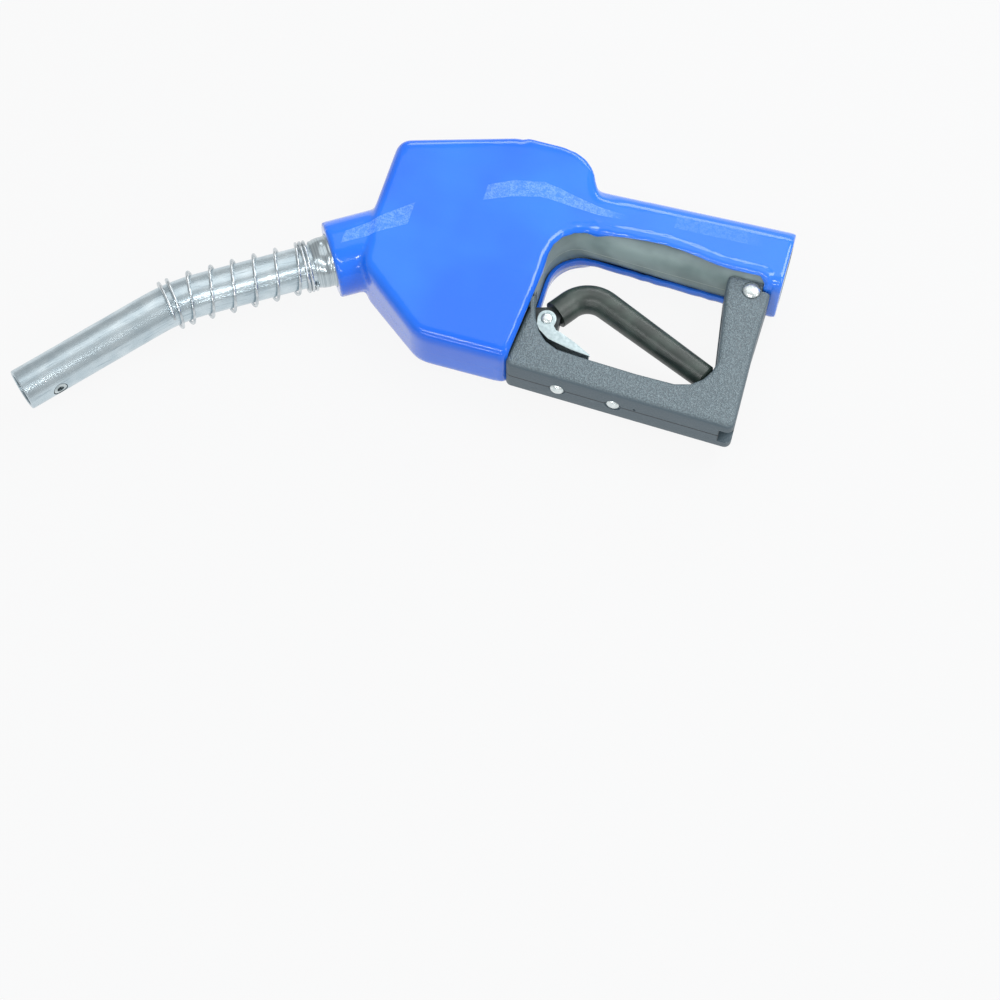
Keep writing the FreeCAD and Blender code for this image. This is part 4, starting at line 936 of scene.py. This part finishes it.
# ------------------------------------------------------------------ valve work and fittings
# What the casting and the guard hold keeps its drawn shape: turned brass seats and guides,
# zinc-plated steel rods, wound springs, moulded seals, and a strainer of perforated steel.
brass = Finish("turned_brass", srgb(206, 172, 96), 0.3, Metallic=1.0)
tool_marks = brass.noise(1.0, 2, brass.stretch(900, 900, 900))
tarnish = brass.noise(160, 3)
brass.tint(tarnish.between(0.4, 0.75), srgb(214, 182, 108), srgb(172, 138, 74))
brass.feed("Roughness", 0.22 + tool_marks * 0.25)
brass.put_on(*[nodes[name] for name in (
    "packing_nut", "latch_sleeve", "check_valve_guide", "check_valve_seat", "main_poppet",
    "check_valve_poppet")])
wire_steel.put_on(*[nodes[name] for name in (
    "main_valve_spring", "plunger_spring", "diaphragm_spring", "check_valve_spring",
    "clip_spring")])
seal = Finish("moulded_seal_rubber", srgb(40, 42, 42), 0.5)
bloom = seal.noise(300, 3)
seal.tint(bloom.between(0.4, 0.75), srgb(36, 38, 38), srgb(62, 64, 63))
seal.feed("Roughness", 0.45 + bloom * 0.25)
seal.put_on(*[nodes[name] for name in ("stem_packing", "diaphragm", "spout_o_ring",
                                       "poppet_seal")])
plated = Finish("zinc_plated_steel", srgb(188, 200, 203), 0.3, Metallic=1.0)
haze = plated.noise(260, 3)
plated.tint(haze.between(0.35, 0.7), srgb(170, 183, 187), srgb(212, 221, 223))
plated.feed("Roughness", 0.22 + haze * 0.22)
plated.relief(haze, 0.00008, 0.4)
plated.put_on(*[nodes[name] for name in (
    "spout_lock_screw", "guard_front_pin", "hold_open_rack", "latch_plunger", "lever_pin",
    "latch_ball_1", "latch_ball_2", "latch_ball_3", "main_stem", "stem_nut", "latch_pin",
    "sensing_port_bush", "guard_rear_rivet", "rack_rivet_1", "rack_rivet_2", "clip_rivet",
    "hold_open_clip")])
blackened = Finish("blackened_steel", srgb(52, 58, 60), 0.4, Metallic=0.4)
oxide = blackened.noise(300, 3)
blackened.tint(oxide.between(0.35, 0.7), srgb(42, 48, 50), srgb(66, 73, 75))
blackened.feed("Roughness", 0.34 + oxide * 0.2)
blackened.put_on(nodes["lever_core"], nodes["clip_spacer"])
mesh_steel = Finish("perforated_steel", srgb(190, 198, 200), 0.32, Metallic=1.0)
# The holes are not cut: each is painted near black, a painted shade for the dark inside of a
# hole.
holes = mesh_steel.cells(900).between(0.28, 0.36)
mesh_steel.tint(holes, srgb(34, 37, 38), srgb(196, 204, 206))
mesh_steel.relief(holes, 0.0003, 0.8)
mesh_steel.put_on(nodes["inlet_strainer"])
cast_cap = Finish("machined_casting", srgb(150, 158, 158), 0.4, Metallic=0.7)
cutter_rings = cast_cap.noise(500, 2)
cast_cap.tint(cutter_rings.between(0.3, 0.7), srgb(134, 143, 143), srgb(172, 179, 178))
cast_cap.feed("Roughness", 0.32 + cutter_rings * 0.2)
cast_cap.put_on(nodes["main_valve_cap"], nodes["diaphragm_cap"], nodes["body_casting"])
pipe = Finish("vent_pipe_aluminium", srgb(196, 204, 208), 0.32, Metallic=1.0)
pipe_marks = pipe.noise(400, 2)
pipe.tint(pipe_marks.between(0.3, 0.7), srgb(184, 194, 198), srgb(214, 221, 224))
pipe.feed("Roughness", 0.24 + pipe_marks * 0.24)
pipe.put_on(nodes["vent_tube"], nodes["spout_tube"], nodes["spout_collar"])
for name, finish in (("scuff_cover", vinyl), ("guard_left_half", nylon),
                     ("guard_right_half", nylon), ("lever_sleeve", rubber),
                     ("spout_spring", wire_steel)):
    finish.put_on(nodes[name])

# ------------------------------------------------------------------ valve springs
# Wound springs of bright wire stand behind the two valves, the latch plunger and the
# diaphragm. Each keeps its drawn coils and is fixed to the body.
for node, joint, name in (("main_valve_spring", "valve_lift", "valve_closing_spring"),
                          ("plunger_spring", "latch_slide", "plunger_return_spring"),
                          ("check_valve_spring", "check_slide", "check_closing_spring"),
                          ("diaphragm_spring", "diaphragm_lift", "diaphragm_return_spring")):
    row = next(each for each in frame["joints"] if each["name"] == joint)
    way = Vector(row["axis"])
    coil = bpy.data.objects.new(name, nodes[node].data.copy())
    bpy.context.scene.collection.objects.link(coil)
    edit(coil)
    bpy.ops.mesh.remove_doubles(threshold=0.000001)
    done()
    smooth(coil, 50)
    wire_steel.put_on(coil)
    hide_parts(node)
    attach(coil, "nozzle_body")
    levels = [vertex.co.dot(way) for vertex in coil.data.vertices]
    length = max(levels) - min(levels)
    way * max(levels)
    1 - row["range_m"][1] / length
    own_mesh(coil)

# ------------------------------------------------------------------ floor, lights and camera
# The nozzle lies on its side on a pale floor, under a broad, soft light, seen from above the
# near side at the angle that shows the whole of its left face.
SKY, CLEARNESS, LENS = 0.52, 0.91, 77.4
bpy.ops.mesh.primitive_plane_add(size=6, location=(0, 0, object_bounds()[0].z))
floor = settle("floor")
pale = Finish("pale_floor", srgb(158, 161, 165), 0.9)
seen = [pale.node("ShaderNodeLightPath", {}, {}, f"Is {kind} Ray")
        for kind in ("Camera", "Glossy", "Transmission")]
clear = seen[0].math("MAXIMUM", seen[1]).math("MAXIMUM", seen[2])
glow = pale.node("ShaderNodeEmission", {}, {"Color": (1, 1, 1, 1), "Strength": 1.0})
mixed = pale.node("ShaderNodeMixShader", {}, {0: clear * CLEARNESS, 2: glow})
pale.tree.links.new(pale.shader.outputs["BSDF"], mixed.socket.node.inputs[1])
pale.tree.links.new(mixed.socket, pale.tree.nodes["Material Output"].inputs["Surface"])
pale.put_on(floor)

world = bpy.data.worlds.new("soft_room")
bpy.context.scene.world = world
world.use_nodes = True
tree = world.node_tree
path = tree.nodes.new("ShaderNodeLightPath")
level = tree.nodes.new("ShaderNodeMapRange")
level.inputs["To Min"].default_value = SKY
level.inputs["To Max"].default_value = 1.0
tree.links.new(path.outputs["Is Camera Ray"], level.inputs["Value"])
tree.nodes["Background"].inputs["Color"].default_value = (1, 1, 1, 1)
tree.links.new(level.outputs["Result"], tree.nodes["Background"].inputs["Strength"])

MIDDLE = Vector((-0.15, -0.06, 0))


def lamp(name, place, size, power):
    """A rectangular lamp that faces the middle of the nozzle."""
    light = bpy.data.lights.new(name, "AREA")
    light.shape = "RECTANGLE"
    light.size, light.size_y = size
    light.energy = power
    holder = bpy.data.objects.new(name, light)
    bpy.context.scene.collection.objects.link(holder)
    holder.location = place
    holder.rotation_euler = (MIDDLE - Vector(place)).to_track_quat("-Z", "Y").to_euler()


lamp("soft_panel", (-0.27, 0.33, 0.91), (0.8, 0.8), 1.5)
lamp("key_panel", (0.4, 0.35, 0.85), (0.5, 0.5), 5)
lamp("back_panel", (-0.15, 0.8, 0.45), (0.9, 0.22), 2.3)
lamp("front_strip", (-0.2, -0.6, 0.82), (0.9, 0.03), 2.6)
lamp("low_strip", (-0.15, -0.95, 0.4), (0.9, 0.024), 1.5)
lamp("side_strip", (0.75, -0.2, 0.5), (0.05, 0.6), 1.4)

AZIMUTH, ELEVATION, DISTANCE = math.radians(16.5), math.radians(66), 1.0
TARGET = Vector((-0.0996, -0.1551, 0))
back = Vector((math.sin(AZIMUTH) * math.cos(ELEVATION), -math.cos(AZIMUTH) * math.cos(ELEVATION),
               math.sin(ELEVATION)))
camera = bpy.data.objects.new("camera", bpy.data.cameras.new("camera"))
bpy.context.scene.collection.objects.link(camera)
camera.location = TARGET + back * DISTANCE
camera.rotation_euler = back.to_track_quat("Z", "Y").to_euler()
camera.data.sensor_width = 36
camera.data.lens = LENS
camera.data.clip_end = 20
bpy.context.scene.camera = camera
bpy.context.scene.view_settings.view_transform = "Standard"
